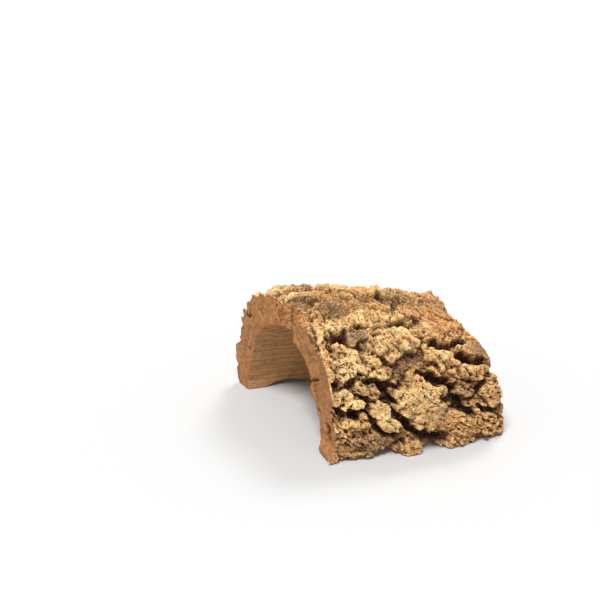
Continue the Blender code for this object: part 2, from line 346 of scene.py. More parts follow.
@dataclass(frozen=True)
class Arch:
    """The smooth arch under the bark's relief, its outline and its two ends. Lengths are in millimetres."""

    front_length: float = 190.0
    crown_left: float = 129.0
    crown_right: float = 98.0
    crown_fall_power: float = 1.5
    front_reach: float = 103.0
    front_reach_right: float = 94.0
    front_bow: float = 8.0
    back_reach: float = 92.0
    section_power: float = 2.35
    bark_thickness: float = 27.0
    foot_thickness: float = 17.0
    foot_taper_height: float = 55.0
    cut_skew_deg: float = 15.0
    bite_start: float = 148.0
    bite_end: float = 214.0
    bite_depth: float = 8.0
    foot_flare: float = 9.0
    foot_flare_height: float = 15.0
    foot_rounding: float = 5.0
    right_end_x: float = 91.0
    right_pull_in: float = 33.0
    right_pull_power: float = 4.0
    back_pull_in: float = 14.0
    front_edge_lifts: tuple[tuple[float, float], ...] = (
        (-95, -3), (-84, -3), (-72, 2), (-56, 3), (-42, 8), (-33, 6), (-22, -3), (-8, -3), (4, 7), (14, 5),
        (26, -3), (48, -3), (60, 2), (74, 1), (95, 4))
    back_edge_lifts: tuple[tuple[float, float], ...] = (
        (-150, -3), (-128, -3), (-112, 4), (-92, 7), (-74, 2), (-58, -3), (-38, -3), (-20, 5), (0, 9),
        (18, 3), (34, -3), (58, -3), (76, 5), (95, 6))
    origin_x: float = -26.9
    origin_y: float = -6.7
    longest_share: float = 1.15
    table_steps: int = 2001
    bite_ramps: tuple[float, float] = (5.0, 12.0)
    bite_edge: Wave = Wave(12, 12, 0.35, 63)
    flare_full_height: float = 6.0
    flare_inner_share: float = 0.6
    foot_rounding_heights: tuple[float, float] = (4.0, -2.0)
    right_edge: tuple[Wave, Wave] = (Wave(19, 19, 4.0, 61), Wave(7, 7, 2.2, 62))
    back_pull_shares: tuple[float, float] = (0.55, 0.95)
    thickness_wave: Wave = Wave(40, 40, 1.5, 33)
    placing_rounds: int = 6

    def section(self, x: Array, t: Array) -> tuple[Array, Array]:
        """(y, z) of the arch at x and at the angle t, from 0 at the front foot to pi at the back foot."""
        u = np.clip((x + self.front_length / 2) / self.front_length, 0.0, self.longest_share)
        crown = self.crown_left + (self.crown_right - self.crown_left) * u**self.crown_fall_power
        bow = self.front_bow * np.sin(np.pi * np.clip(u, 0, 1))
        front = self.front_reach + (self.front_reach_right - self.front_reach) * u + bow
        reach = np.where(t < np.pi / 2, front, self.back_reach)
        c, z = np.cos(t), np.abs(np.sin(t))
        power = 2 / self.section_power
        return -reach * np.sign(c) * np.abs(c) ** power, crown * z**power

    @cached_property
    def distance_table(self) -> tuple[Array, Array]:
        """Angles, and the distance round the arch that each has at the middle of the slab."""
        t = np.linspace(0.0, np.pi, self.table_steps)
        y, z = self.section(np.zeros_like(t), t)
        return t, np.concatenate([[0.0], np.cumsum(np.hypot(np.diff(y), np.diff(z)))])

    @property
    def length(self) -> float:
        """The whole distance round the arch."""
        return float(self.distance_table[1][-1])

    def angle_at(self, s: Array) -> Array:
        """The arch's angle at the distance s round it."""
        angles, distances = self.distance_table
        return np.interp(np.clip(s, 0.0, self.length), distances, angles)

    def surface(self, x: Array, s: Array) -> tuple[Array, Array, Array, Array]:
        """A point of the smooth arch and its outward direction.

        Args:
            x: Distance along the trunk.
            s: Distance round the arch. Past either foot the wall runs on straight down.

        Returns:
            y and z of the point, and y and z of the outward direction.
        """
        y, z = self.section(x, self.angle_at(s))
        z = z + np.minimum(np.where(s < 0, s, self.length - s), 0.0)
        inside = np.clip(s, 0.0, self.length)
        before = self.section(x, self.angle_at(inside - 1.0))
        after = self.section(x, self.angle_at(inside + 1.0))
        ty, tz = after[0] - before[0], after[1] - before[1]
        size = np.hypot(ty, tz)
        return y, z, -tz / size, ty / size

    def bite(self, s: Array) -> Array:
        """1 where the left end is broken back over the crown, and 0 where it is sawn."""
        front, back = self.bite_ramps
        begun = Noise.smoothstep(self.bite_start, self.bite_start + front, s)
        return begun * Noise.smoothstep(self.bite_end, self.bite_end - back, s)

    def left_end(self, y: Array, s: Array, w: Array) -> Array:
        """x of the left end: sawn askew on both legs, broken back over the crown, and flared at the foot."""
        plane = -self.front_length / 2 - np.tan(np.radians(self.cut_skew_deg)) * (y + self.front_reach)
        ragged = 1 + Noise.wave(s, 0 * s, self.bite_edge)
        flared = Noise.smoothstep(self.foot_flare_height, self.flare_full_height, s)
        flare = self.foot_flare * flared * (self.flare_inner_share + (1 - self.flare_inner_share) * w)
        rounding = self.foot_rounding * Noise.smoothstep(*self.foot_rounding_heights, s)
        return plane + self.bite_depth * self.bite(s) * ragged - flare + rounding

    def right_end(self, s: Array) -> Array:
        """x of the broken right end, pulled in towards the crown and at the back."""
        middle = self.section(0 * s, 0 * s + np.pi / 2)[1]
        height = self.section(0 * s, self.angle_at(s))[1] / middle
        at_back = Noise.smoothstep(*self.back_pull_shares, s / self.length)
        coarse, fine = (Noise.wave(s, 0 * s, wave) for wave in self.right_edge)
        pulled = self.right_pull_in * height**self.right_pull_power
        return self.right_end_x - pulled - self.back_pull_in * at_back + (coarse + fine)

    def thickness(self, x: Array, s: Array) -> Array:
        """Thickness of the bark under its relief: thinner towards the two lower edges."""
        taper = Noise.smoothstep(0, self.foot_taper_height, np.minimum(s, self.length - s))
        wavering = Noise.wave(x, s, self.thickness_wave)
        return self.foot_thickness + (self.bark_thickness - self.foot_thickness) * taper + wavering

    def place(self, p: Array, q: Array, w: Array) -> tuple[Array, Array]:
        """Puts lattice points on the flat surface, inside the slab's real outline.

        Each end's x depends on where the point is, and the other way round, so a few rounds settle both.

        Args:
            p: Share of the way along the trunk.
            q: Share of the way round the arch.
            w: Share of the way through the bark, from the belly.

        Returns:
            x and s of each point.
        """
        x = -self.front_length / 2 + self.front_length * p
        for _ in range(self.placing_rounds):
            front = np.interp(x, *zip(*self.front_edge_lifts))
            back = self.length - np.interp(x, *zip(*self.back_edge_lifts))
            s = front + (back - front) * q
            y, _, ny, _ = self.surface(x, s)
            left = self.left_end(y - ny * (1 - w) * self.thickness(x, s), s, w)
            x = left + (self.right_end(s) - left) * p
        return x, s


@dataclass(frozen=True)
class ScatteredBack:
    """Plates and crevices of the back, drawn at random from one seed."""

    start: float = 186.0
    left: float = -170.0
    right: float = 110.0
    seed: int = 29
    row_step: float = 15.0
    plate_step: float = 27.0
    plate_lengths: tuple[float, float] = (22, 62)
    plate_widths: tuple[float, float] = (11, 27)
    plate_heights: tuple[float, float] = (2.0, 11.5)
    plate_shift: tuple[float, float] = (9, 7)
    plate_turn: tuple[float, float] = (-14, 22)
    plate_gaps: tuple[float, float] = (0.7, 1.5)
    crevice_count: int = 17
    crevice_step: float = 15.0
    crevice_room: tuple[float, float, float, float] = (20, 40, 8, 4)
    crevice_heading: tuple[float, float] = (-0.25, 0.5)
    crevice_bend: float = 0.45
    crevice_turns: tuple[int, int] = (2, 4)
    crevice_widths: tuple[float, float] = (5, 10)
    crevice_depths: tuple[float, float] = (7, 14)
    spot_counts: tuple[tuple[Tone, int], ...] = ((Tone.BLEACHED, 16), (Tone.WEATHERED, 15), (Tone.RUSTY, 12))
    spot_lengths: tuple[float, float] = (24, 70)
    spot_widths: tuple[float, float] = (14, 34)
    spot_turn: tuple[float, float] = (-10, 25)
    spot_strengths: tuple[float, float] = (0.45, 1.0)

    def plates(self, arc_length: float) -> tuple[Plate, ...]:
        """Plates of mixed sizes, in loose rows along the trunk."""
        draw = random.Random(self.seed)
        shift_x, shift_s = self.plate_shift
        plates = []
        s = self.start
        while s < arc_length + self.row_step:
            x = self.left + draw.uniform(0, self.plate_step)
            while x < self.right:
                plates.append(Plate(x + draw.uniform(-shift_x, shift_x), s + draw.uniform(-shift_s, shift_s),
                                    draw.uniform(*self.plate_lengths), draw.uniform(*self.plate_widths),
                                    draw.gauss(*self.plate_turn), draw.uniform(*self.plate_heights)))
                x += self.plate_step * draw.uniform(*self.plate_gaps)
            s += self.row_step
        return tuple(plates)

    def crevices(self, arc_length: float) -> tuple[Crevice, ...]:
        """Crevices that wander mostly along the trunk."""
        draw = random.Random(self.seed + 1)
        from_left, from_right, from_start, past_foot = self.crevice_room
        crevices = []
        for _ in range(self.crevice_count):
            x = draw.uniform(self.left + from_left, self.right - from_right)
            s = draw.uniform(self.start + from_start, arc_length + past_foot)
            heading = draw.gauss(*self.crevice_heading)
            line = [(x, s)]
            for _ in range(draw.randint(*self.crevice_turns)):
                heading += draw.gauss(0, self.crevice_bend)
                x += self.crevice_step * math.cos(heading)
                s += self.crevice_step * math.sin(heading)
                line.append((x, s))
            width, depth = draw.uniform(*self.crevice_widths), draw.uniform(*self.crevice_depths)
            crevices.append(Crevice(tuple(line), width, depth))
        return tuple(crevices)

    def spots(self, arc_length: float) -> tuple[Spot, ...]:
        """Patches of tone that carry the front's weathering on over the back."""
        draw = random.Random(self.seed + 2)
        spots = []
        for tone, count in self.spot_counts:
            for _ in range(count):
                x, s = draw.uniform(self.left, self.right), draw.uniform(self.start, arc_length)
                length, width = draw.uniform(*self.spot_lengths), draw.uniform(*self.spot_widths)
                turn, strength = draw.gauss(*self.spot_turn), draw.uniform(*self.spot_strengths)
                spots.append(Spot(tone, x, s, length, width, turn, strength))
        return tuple(spots)


FRONT_PLATES = (
    Plate(-3, 53, 58, 44, -30, 12.5),
    Plate(32, 25, 54, 25, -38, 9.5),
    Plate(-44, 41, 38, 17, -52, 11),
    Plate(-79, 56, 33, 18, -12, 9.5),
    Plate(-58, 67, 21, 13, 10, 6.5),
    Plate(-36, 60, 24, 9, -48, 6),
    Plate(-77, 91, 42, 29, -20, 9),
    Plate(-43, 90, 30, 31, -45, 10),
    Plate(-24, 109, 62, 26, 12, 13),
    Plate(21, 98, 36, 19, -40, 9.5),
    Plate(41, 82, 24, 15, -35, 8),
    Plate(58, 78, 33, 17, -8, 14.5),
    Plate(47, 62, 26, 18, -62, 7.5),
    Plate(76, 56, 30, 23, -40, 10.5),
    Plate(68, 103, 36, 25, -35, 9.5),
    Plate(26, 129, 54, 35, -8, 8.5),
    Plate(40, 160, 38, 36, -60, 7.5),
    Plate(-40, 140, 60, 22, 5, 9),
    Plate(-80, 131, 40, 15, -3, 8.5),
    Plate(-80, 157, 38, 24, 10, 8),
    Plate(-32, 167, 42, 22, 0, 6.5),
    Plate(6, 158, 30, 26, 20, 6.5),
    Plate(-77, 32, 42, 15, 12, 8.5),
    Plate(-74, 11, 46, 20, 0, 6.5),
    Plate(-16, 6, 24, 18, -50, 10),
    Plate(64, 22, 44, 27, -20, 8.5),
    Plate(38, 6, 40, 15, -6, 8),
    Plate(-59, 117, 28, 15, 0, 11.5),
    Plate(-96, 112, 13, 30, 0, 10),
    Plate(-95, 136, 13, 24, 0, 9),
    Plate(-97, 80, 13, 40, 0, 11),
    Plate(-101, 7, 16, 18, 0, 10),
)

FRONT_CREVICES = (
    Crevice(((-44, 67), (-36, 52), (-29, 39), (-18, 26), (-4, 17), (14, 11)), 9, 17),
    Crevice(((-91, 49), (-78, 46), (-63, 47), (-55, 36), (-45, 25), (-30, 20)), 8.5, 14),
    Crevice(((-70, 62), (-60, 57), (-50, 56)), 5, 10),
    Crevice(((-92, 70), (-78, 69), (-68, 76), (-56, 75), (-42, 73), (-28, 68), (-22, 75)), 4.5, 9),
    Crevice(((-83, 115), (-75, 115.5)), 8, 17),
    Crevice(((-20, 130), (-8, 132), (4, 135), (12, 141)), 7, 9),
    Crevice(((-8, 125), (2, 117), (10, 109), (24, 108)), 5, 9),
    Crevice(((24, 109), (36, 107), (45, 98), (57, 92), (70, 88), (84, 83)), 13, 18),
    Crevice(((6, 77), (14, 75), (24, 70), (30, 63)), 13.5, 20),
    Crevice(((27, 55), (36, 50), (42, 42), (50, 35)), 14, 20),
    Crevice(((42, 51), (56, 56), (66, 66), (70, 74)), 6, 13),
    Crevice(((66, 38), (78, 38), (94, 42)), 6, 11),
    Crevice(((-20, 20), (0, 15), (18, 12)), 13, 8),
    Crevice(((-44, -4), (-36, 8), (-24, 17)), 7, 7),
    Crevice(((6, -4), (9, 6), (4, 14)), 8, 9),
    Crevice(((-67, 143), (-58, 145), (-51, 151)), 4.5, 8),
    Crevice(((-37, 134), (-22, 137)), 4, 5),
    Crevice(((-62, 105), (-59, 93), (-51, 83)), 4, 6),
    Crevice(((-50, 99), (-38, 90), (-28, 86)), 4, 6),
    Crevice(((44, 144), (49, 145)), 6, 8),
    Crevice(((48, 113), (53, 114)), 6, 8),
    Crevice(((-92, 105), (-91, 116)), 6, 11),
    Crevice(((-98, 158), (-88, 168), (-70, 172)), 6, 8),
    Crevice(((-16, 150), (-4, 165), (4, 180)), 6, 8),
)

FRONT_SPOTS = (
    Spot(Tone.BLEACHED, -40, 134, 52, 30, 0, 1.0),
    Spot(Tone.BLEACHED, -72, 128, 50, 16, 0, 1.0),
    Spot(Tone.BLEACHED, -25, 110, 56, 30, 5, 0.9),
    Spot(Tone.BLEACHED, -68, 90, 66, 40, -10, 1.0),
    Spot(Tone.BLEACHED, -80, 131, 42, 18, 0, 0.9),
    Spot(Tone.BLEACHED, 26, 98, 44, 15, -38, 0.7),
    Spot(Tone.BLEACHED, -42, 42, 36, 12, -52, 0.9),
    Spot(Tone.BLEACHED, -5, 56, 50, 38, -20, 0.7),
    Spot(Tone.BLEACHED, -79, 57, 34, 18, -10, 0.9),
    Spot(Tone.BLEACHED, -84, 33, 34, 12, 10, 0.5),
    Spot(Tone.BLEACHED, 70, 58, 26, 14, -40, 0.4),
    Spot(Tone.BLEACHED, 10, 128, 20, 30, 0, 0.4),
    Spot(Tone.BLEACHED, -96, 100, 18, 60, 0, 0.6),
    Spot(Tone.WEATHERED, -37, 62, 24, 22, -45, 0.9),
    Spot(Tone.WEATHERED, -52, 69, 20, 10, 0, 0.8),
    Spot(Tone.WEATHERED, -62, 112, 34, 20, 0, 1.0),
    # Partly painted shadow: this patch greys the crown's left end partly as weathering and partly as the
    # shadow of a slab that is not in the scene.
    Spot(Tone.WEATHERED, -94, 168, 66, 34, 0, 0.8),
    Spot(Tone.WEATHERED, -78, 152, 46, 24, 8, 1.0),
    Spot(Tone.WEATHERED, 74, 98, 38, 30, -35, 0.8),
    Spot(Tone.WEATHERED, 52, 62, 28, 18, -60, 0.9),
    Spot(Tone.WEATHERED, 4, 40, 40, 22, -30, 0.4),
    Spot(Tone.WEATHERED, -13, 91, 40, 15, 35, 0.9),
    Spot(Tone.WEATHERED, -24, 80, 30, 15, -35, 0.9),
    # Partly painted shadow: this strip along the crown is greyer partly as weathering and partly as shadow
    # cast from above by a slab that is not in the scene.
    Spot(Tone.WEATHERED, -20, 174, 210, 26, 0, 0.8),
    # Partly painted shade: this patch darkens the lower left partly as weathering and partly as the shade near
    # the floor.
    Spot(Tone.WEATHERED, -64, 14, 64, 24, 0, 0.9),
    Spot(Tone.WEATHERED, -84, 100, 12, 24, 0, 0.5),
    Spot(Tone.RUSTY, 26, 134, 60, 48, 0, 0.9),
    Spot(Tone.RUSTY, -3, 122, 34, 14, -40, 1.0),
    Spot(Tone.RUSTY, 58, 78, 34, 20, -8, 0.9),
    Spot(Tone.RUSTY, -74, 73, 34, 12, 0, 1.0),
    Spot(Tone.RUSTY, 66, 26, 50, 34, -20, 0.5),
    Spot(Tone.RUSTY, -94, 14, 26, 40, 0, 0.6),
    Spot(Tone.RUSTY, -16, 8, 34, 22, -50, 0.6),
    Spot(Tone.RUSTY, 40, 164, 50, 30, 0, 0.6),
)

SAWN_NICKS = (
    Nick(79, 7, 4, 17, 3.2),
    Nick(65, 6, 19, 2.6, 2.4),
    Nick(24, 12, 20, 8, 7.0),
    Nick(119, 25, 15, 6, 2.5),
    Nick(100, 13, 3, 13, 1.0),
    Nick(107, 12, 3, 16, 1.0),
    Nick(136, 9, 6, 5, 2.5),
    Nick(44, 4, 6, 6, 2.0),
    Nick(232, 12, 4, 14, 2.5),
    Nick(262, 20, 14, 5, 3.5),
    Nick(300, 8, 5, 9, 2.2),
)


@dataclass(frozen=True)
class BarkRelief:
    """The bark's relief over the smooth arch. Heights and widths are in millimetres."""

    arch: Arch
    level: float = 2.2
    swell: Wave = Wave(42, 42, 2.0, 5)
    crumbs: Wave = Wave(9, 9, 1.3, 7)
    warps_x: tuple[Wave, ...] = (Wave(15, 15, 3.0, 1), Wave(5.5, 5.5, 0.9, 2))
    warps_s: tuple[Wave, ...] = (Wave(15, 15, 3.0, 3), Wave(5.5, 5.5, 0.9, 4))
    plate_rim: float = 2.0
    plate_crowning: float = 0.16
    plate_squareness: int = 3
    crevice_wall: tuple[float, float] = (0.72, 0.2)
    calm_plates: tuple[tuple[Plate, float], ...] = (
        (Plate(-3, 55, 50, 40, -30, 0), 0.85),
        (Plate(24, 24, 60, 26, -30, 0), 0.5),
        (Plate(-24, 110, 50, 20, 12, 0), 0.3),
        (Plate(-102, 6, 34, 26, 0, 0), 1.0),
    )
    calm_edge: tuple[float, float] = (1.15, 0.75)
    slips: tuple[Slip, ...] = (Slip(9.0, 6.5, 2.4, 61), Slip(4.2, 3.4, 0.6, 65))
    rubble: Cells = Cells(7.5, 6.5, 66)
    rubble_height: float = 11.0
    rubble_least: float = 0.5
    rubble_edge: tuple[float, float] = (0.03, 0.25)
    rubble_patches: Wave = Wave(24, 24, 1.0, 60)
    rubble_gate: tuple[float, float] = (0.0, 0.4)
    rubble_crevices: tuple[float, float] = (2.0, 9.0)
    worn_corner: float = 6.0
    worn_along: tuple[float, float] = (25, 80)
    worn_front: tuple[float, float] = (130, 165)
    worn_back: tuple[float, float] = (235, 195)
    shakes: tuple[Wave, Wave] = (Wave(7, 7, 0.9, 71), Wave(7, 7, 0.9, 72))
    rough_patches: Wave = Wave(30, 30, 1.0, 73, 2)
    rough_gate: tuple[float, float] = (-0.6, 0.5)
    fibre_turn_deg: float = -38.0
    blocks: tuple[Blocks, ...] = (
        Blocks(15, 9, 1.9, 2.0, 0.25, False, 70),
        Blocks(11, 4.6, 1.6, 2.4, 0.25, True, 74),
        Blocks(5.6, 2.8, 1.0, 2.2, 0.4, True, 84),
    )
    grit: Wave = Wave(2.6, 2.2, 0.35, 76, 2)
    cracked: Cells = Cells(9.5, 5.5, 88)
    crack_depth: float = 1.4
    crack_edge: tuple[float, float] = (0.10, 0.02)
    crack_calm_share: float = 0.1
    pits: Cells = Cells(9.5, 6.0, 78)
    pit_radii: tuple[float, float] = (0.10, 0.24)
    pit_depths: tuple[float, float] = (1.5, 3.8)
    pit_patches: Wave = Wave(18, 18, 1.0, 79)
    pit_gate: float = 0.12
    pit_least: float = 0.3
    tone_shakes: tuple[Wave, Wave] = (Wave(16, 16, 7.0, 81, 3), Wave(16, 16, 7.0, 85, 3))
    tone_edge: tuple[float, float] = (1.35, 0.55)
    belly_ridges: tuple[Wave, Wave] = (Wave(55, 16, 1.6, 31), Wave(30, 6, 0.7, 32))
    belly_lines: tuple[Wave, Wave] = (Wave(26, 2.6, 0.35, 91, 2), Wave(6, 6, 0.3, 95, 2))
    belly_flakes: tuple[Plate, ...] = (Plate(-100, 66, 30, 20, 0, 6.0), Plate(-104, 17, 24, 14, 0, 3.0))
    flake_edge: tuple[float, float] = (1.1, 0.7)

    @cached_property
    def plates(self) -> tuple[Plate, ...]:
        """Every plate, front and back."""
        return FRONT_PLATES + ScatteredBack().plates(self.arch.length)

    @cached_property
    def crevices(self) -> tuple[Crevice, ...]:
        """Every crevice, front and back."""
        return FRONT_CREVICES + ScatteredBack().crevices(self.arch.length)

    @cached_property
    def spots(self) -> tuple[Spot, ...]:
        """Every patch of tone, front and back."""
        return FRONT_SPOTS + ScatteredBack().spots(self.arch.length)

    def warped(self, x: Array, s: Array) -> tuple[Array, Array]:
        """The flat coordinates shaken a little, which makes outlines ragged."""
        wx, ws = x, s
        for warp_x, warp_s in zip(self.warps_x, self.warps_s):
            wx = wx + Noise.wave(x, s, warp_x)
            ws = ws + Noise.wave(x, s, warp_s)
        return wx, ws

    @staticmethod
    def along_and_across(patch: Plate | Spot, x: Array, s: Array) -> tuple[Array, Array]:
        """Distances from a patch's middle along and across it, where 1 is its rim."""
        turn = math.radians(patch.turn_deg)
        along = (x - patch.x) * math.cos(turn) + (s - patch.s) * math.sin(turn)
        across = (s - patch.s) * math.cos(turn) - (x - patch.x) * math.sin(turn)
        return along / (patch.length / 2), across / (patch.width / 2)

    def plates_height(self, x: Array, s: Array) -> Array:
        """Height of the highest plate at each point."""
        height = np.zeros(x.shape)
        for plate in self.plates:
            along, across = self.along_and_across(plate, x, s)
            power = self.plate_squareness
            far = (np.abs(along) ** power + np.abs(across) ** power) ** (1 / power)
            rim = self.plate_rim / plate.width
            top = 1.0 - self.plate_crowning * np.minimum(far, 1.0) ** 2
            height = np.maximum(height, plate.height * top * Noise.smoothstep(1.0 + rim, 1.0 - rim, far))
        return height

    def crevices_depth(self, x: Array, s: Array) -> Array:
        """Depth of the deepest crevice at each point."""
        depth = np.zeros(x.shape)
        top, bottom = self.crevice_wall
        for crevice in self.crevices:
            far = np.full(x.shape, np.inf)
            for (x0, s0), (x1, s1) in zip(crevice.line[:-1], crevice.line[1:]):
                dx, ds = x1 - x0, s1 - s0
                share = np.clip(((x - x0) * dx + (s - s0) * ds) / (dx * dx + ds * ds), 0, 1)
                far = np.minimum(far, np.hypot(x - x0 - share * dx, s - s0 - share * ds))
            wall = Noise.smoothstep(crevice.width * top, crevice.width * bottom, far)
            depth = np.maximum(depth, crevice.depth * wall)
        return depth

    def form(self, x: Array, s: Array) -> Array:
        """The relief's main form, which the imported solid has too."""
        wx, ws = self.warped(x, s)
        level = self.level + Noise.wave(x, s, self.swell)
        plates = np.maximum(level, self.plates_height(wx, ws))
        return plates - self.crevices_depth(wx, ws) + Noise.wave(wx, ws, self.crumbs)

    def calm(self, x: Array, s: Array) -> Array:
        """1 on the smoother plates, and 0 where the bark is broken up."""
        total = np.zeros(x.shape)
        for plate, strength in self.calm_plates:
            along, across = self.along_and_across(plate, x, s)
            inside = Noise.smoothstep(*self.calm_edge, np.hypot(along, across))
            total = np.maximum(total, strength * inside)
        return total

    def ragged(self, x: Array, s: Array) -> tuple[Array, Array]:
        """The flat coordinates broken into small pieces, which leaves plates with angular edges."""
        for slip in self.slips:
            x, s = Noise.slipped(x, s, slip)
        return x, s

    def full(self, x: Array, s: Array) -> Array:
        """The whole relief: the main form with crumbled edges and rubble, and everything finer."""
        rx, rs = self.ragged(x, s)
        height = self.form(rx, rs)
        in_crevice = Noise.smoothstep(*self.rubble_crevices, self.crevices_depth(*self.warped(rx, rs)))
        return height + in_crevice * self.rubble_in(x, s) - self.worn(x, s) + self.detail(x, s)

    def rubble_in(self, x: Array, s: Array) -> Array:
        """Height of the broken bits that lie in the crevices, in patches."""
        border, _, own = Noise.cells(x, s, self.rubble)
        bits = self.rubble_height * np.maximum(own - self.rubble_least, 0)
        bits = bits * Noise.smoothstep(*self.rubble_edge, border)
        return bits * Noise.smoothstep(*self.rubble_gate, Noise.wave(x, s, self.rubble_patches))

    def worn(self, x: Array, s: Array) -> Array:
        """How far the bark is worn down at the right end of the crown."""
        along = self.worn_corner * Noise.smoothstep(*self.worn_along, x)
        return along * Noise.smoothstep(*self.worn_front, s) * Noise.smoothstep(*self.worn_back, s)

    def detail(self, x: Array, s: Array) -> Array:
        """Crumbs, cracks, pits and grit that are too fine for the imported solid."""
        shake_x, shake_s = (Noise.wave(x, s, shake) for shake in self.shakes)
        x, s = x + shake_x, s + shake_s
        rough = Noise.smoothstep(*self.rough_gate, Noise.wave(x, s, self.rough_patches))
        rough = rough * (1 - self.calm(x, s))
        turn = math.radians(self.fibre_turn_deg)
        along = x * math.cos(turn) + s * math.sin(turn)
        across = s * math.cos(turn) - x * math.sin(turn)
        height = np.zeros(x.shape)
        for blocks in self.blocks:
            share = blocks.calm_share + (1 - blocks.calm_share) * rough
            place = (along, across) if blocks.askew else (x, s)
            height += share * blocks.height * Noise.facets(*place, blocks)
        height += Noise.wave(x, s, self.grit)
        border, _, _ = Noise.cells(along, across, self.cracked)
        share = self.crack_calm_share + (1 - self.crack_calm_share) * rough
        height -= share * self.crack_depth * Noise.smoothstep(*self.crack_edge, border)
        return height - self.pit_depth(x, s, along, across, rough)

    def pit_depth(self, x: Array, s: Array, along: Array, across: Array, rough: Array) -> Array:
        """Depth of the pits, which lie in patches and are larger and deeper in some cells than in others.

        Args:
            x: Distance along the trunk.
            s: Distance round the arch.
            along: Distance along the fibres.
            across: Distance across the fibres.
            rough: How broken up the bark is, from 0 to 1.

        Returns:
            The depth at each point.
        """
        _, middle, own = Noise.cells(along, across, self.pits)
        least_radius, more_radius = self.pit_radii
        least_depth, more_depth = self.pit_depths
        radius = least_radius + more_radius * own**2
        pitted = (Noise.wave(x, s, self.pit_patches) + 0.5 * rough > self.pit_gate) & (own > self.pit_least)
        return pitted * (least_depth + more_depth * own) * Noise.smoothstep(radius, 0.5 * radius, middle)

    def tone(self, which: Tone, x: Array, s: Array) -> Array:
        """How strongly one tone colours each point, from 0 to 1."""
        shake_x, shake_s = (Noise.wave(x, s, shake) for shake in self.tone_shakes)
        total = np.zeros(x.shape)
        for spot in self.spots:
            if spot.tone is which:
                along, across = self.along_and_across(spot, x + shake_x, s + shake_s)
                inside = Noise.smoothstep(*self.tone_edge, np.hypot(along, across))
                total = np.maximum(total, spot.strength * inside)
        return total

    def belly(self, x: Array, s: Array) -> Array:
        """How far the inner side wavers: long low ridges along the trunk, and shallow flakes gone from it."""
        wide, narrow = (Noise.wave(x, s, wave) for wave in self.belly_ridges)
        height = wide + narrow
        for flake in self.belly_flakes:
            along, across = self.along_and_across(flake, x, s)
            height = height - flake.height * Noise.smoothstep(*self.flake_edge, np.hypot(along, across))
        return height

    def belly_detail(self, x: Array, s: Array) -> Array:
        """Fine lines along the trunk and small dimples on the inner side."""
        lines, dimples = (Noise.wave(x, s, wave) for wave in self.belly_lines)
        return lines + dimples


@dataclass
class Shell:
    """The outside of a block of lattice cells: its corners, as shares of the block, and its faces."""

    steps: tuple[int, int, int]
    index: Array = field(init=False)
    places: Array = field(init=False)
    faces: Array = field(init=False)
    face_sides: Array = field(init=False)

    def __post_init__(self) -> None:
        """Numbers the corners, and makes the faces of all six sides of the block."""
        shape = tuple(n + 1 for n in self.steps)
        outside = np.zeros(shape, bool)
        for axis in range(3):
            at = [slice(None)] * 3
            at[axis] = [0, -1]
            outside[tuple(at)] = True
        self.index = np.full(shape, -1)
        self.index[outside] = np.arange(np.count_nonzero(outside))
        self.places = np.argwhere(outside) / self.steps
        sides = {(0, 0): Side.SAWN_END, (0, 1): Side.BROKEN, (1, 0): Side.BROKEN, (1, 1): Side.BROKEN,
                 (2, 0): Side.BELLY, (2, 1): Side.BARK}
        faces, face_sides = [], []
        for (axis, end), side in sides.items():
            sheet = self.index.take(-end, axis)
            corners = (sheet[:-1, :-1], sheet[1:, :-1], sheet[1:, 1:], sheet[:-1, 1:])
            quads = np.stack(corners, axis=-1).reshape(-1, 4)
            faces.append(quads if (end == 1) != (axis == 1) else quads[:, ::-1])
            face_sides.append(np.full(len(quads), side.value))
        self.faces = np.concatenate(faces)
        self.face_sides = np.concatenate(face_sides)

    @property
    def bark_corners(self) -> Array:
        """Numbers of the corners on the bark side, as a grid along the trunk and round the arch."""
        return self.index[:, :, -1]


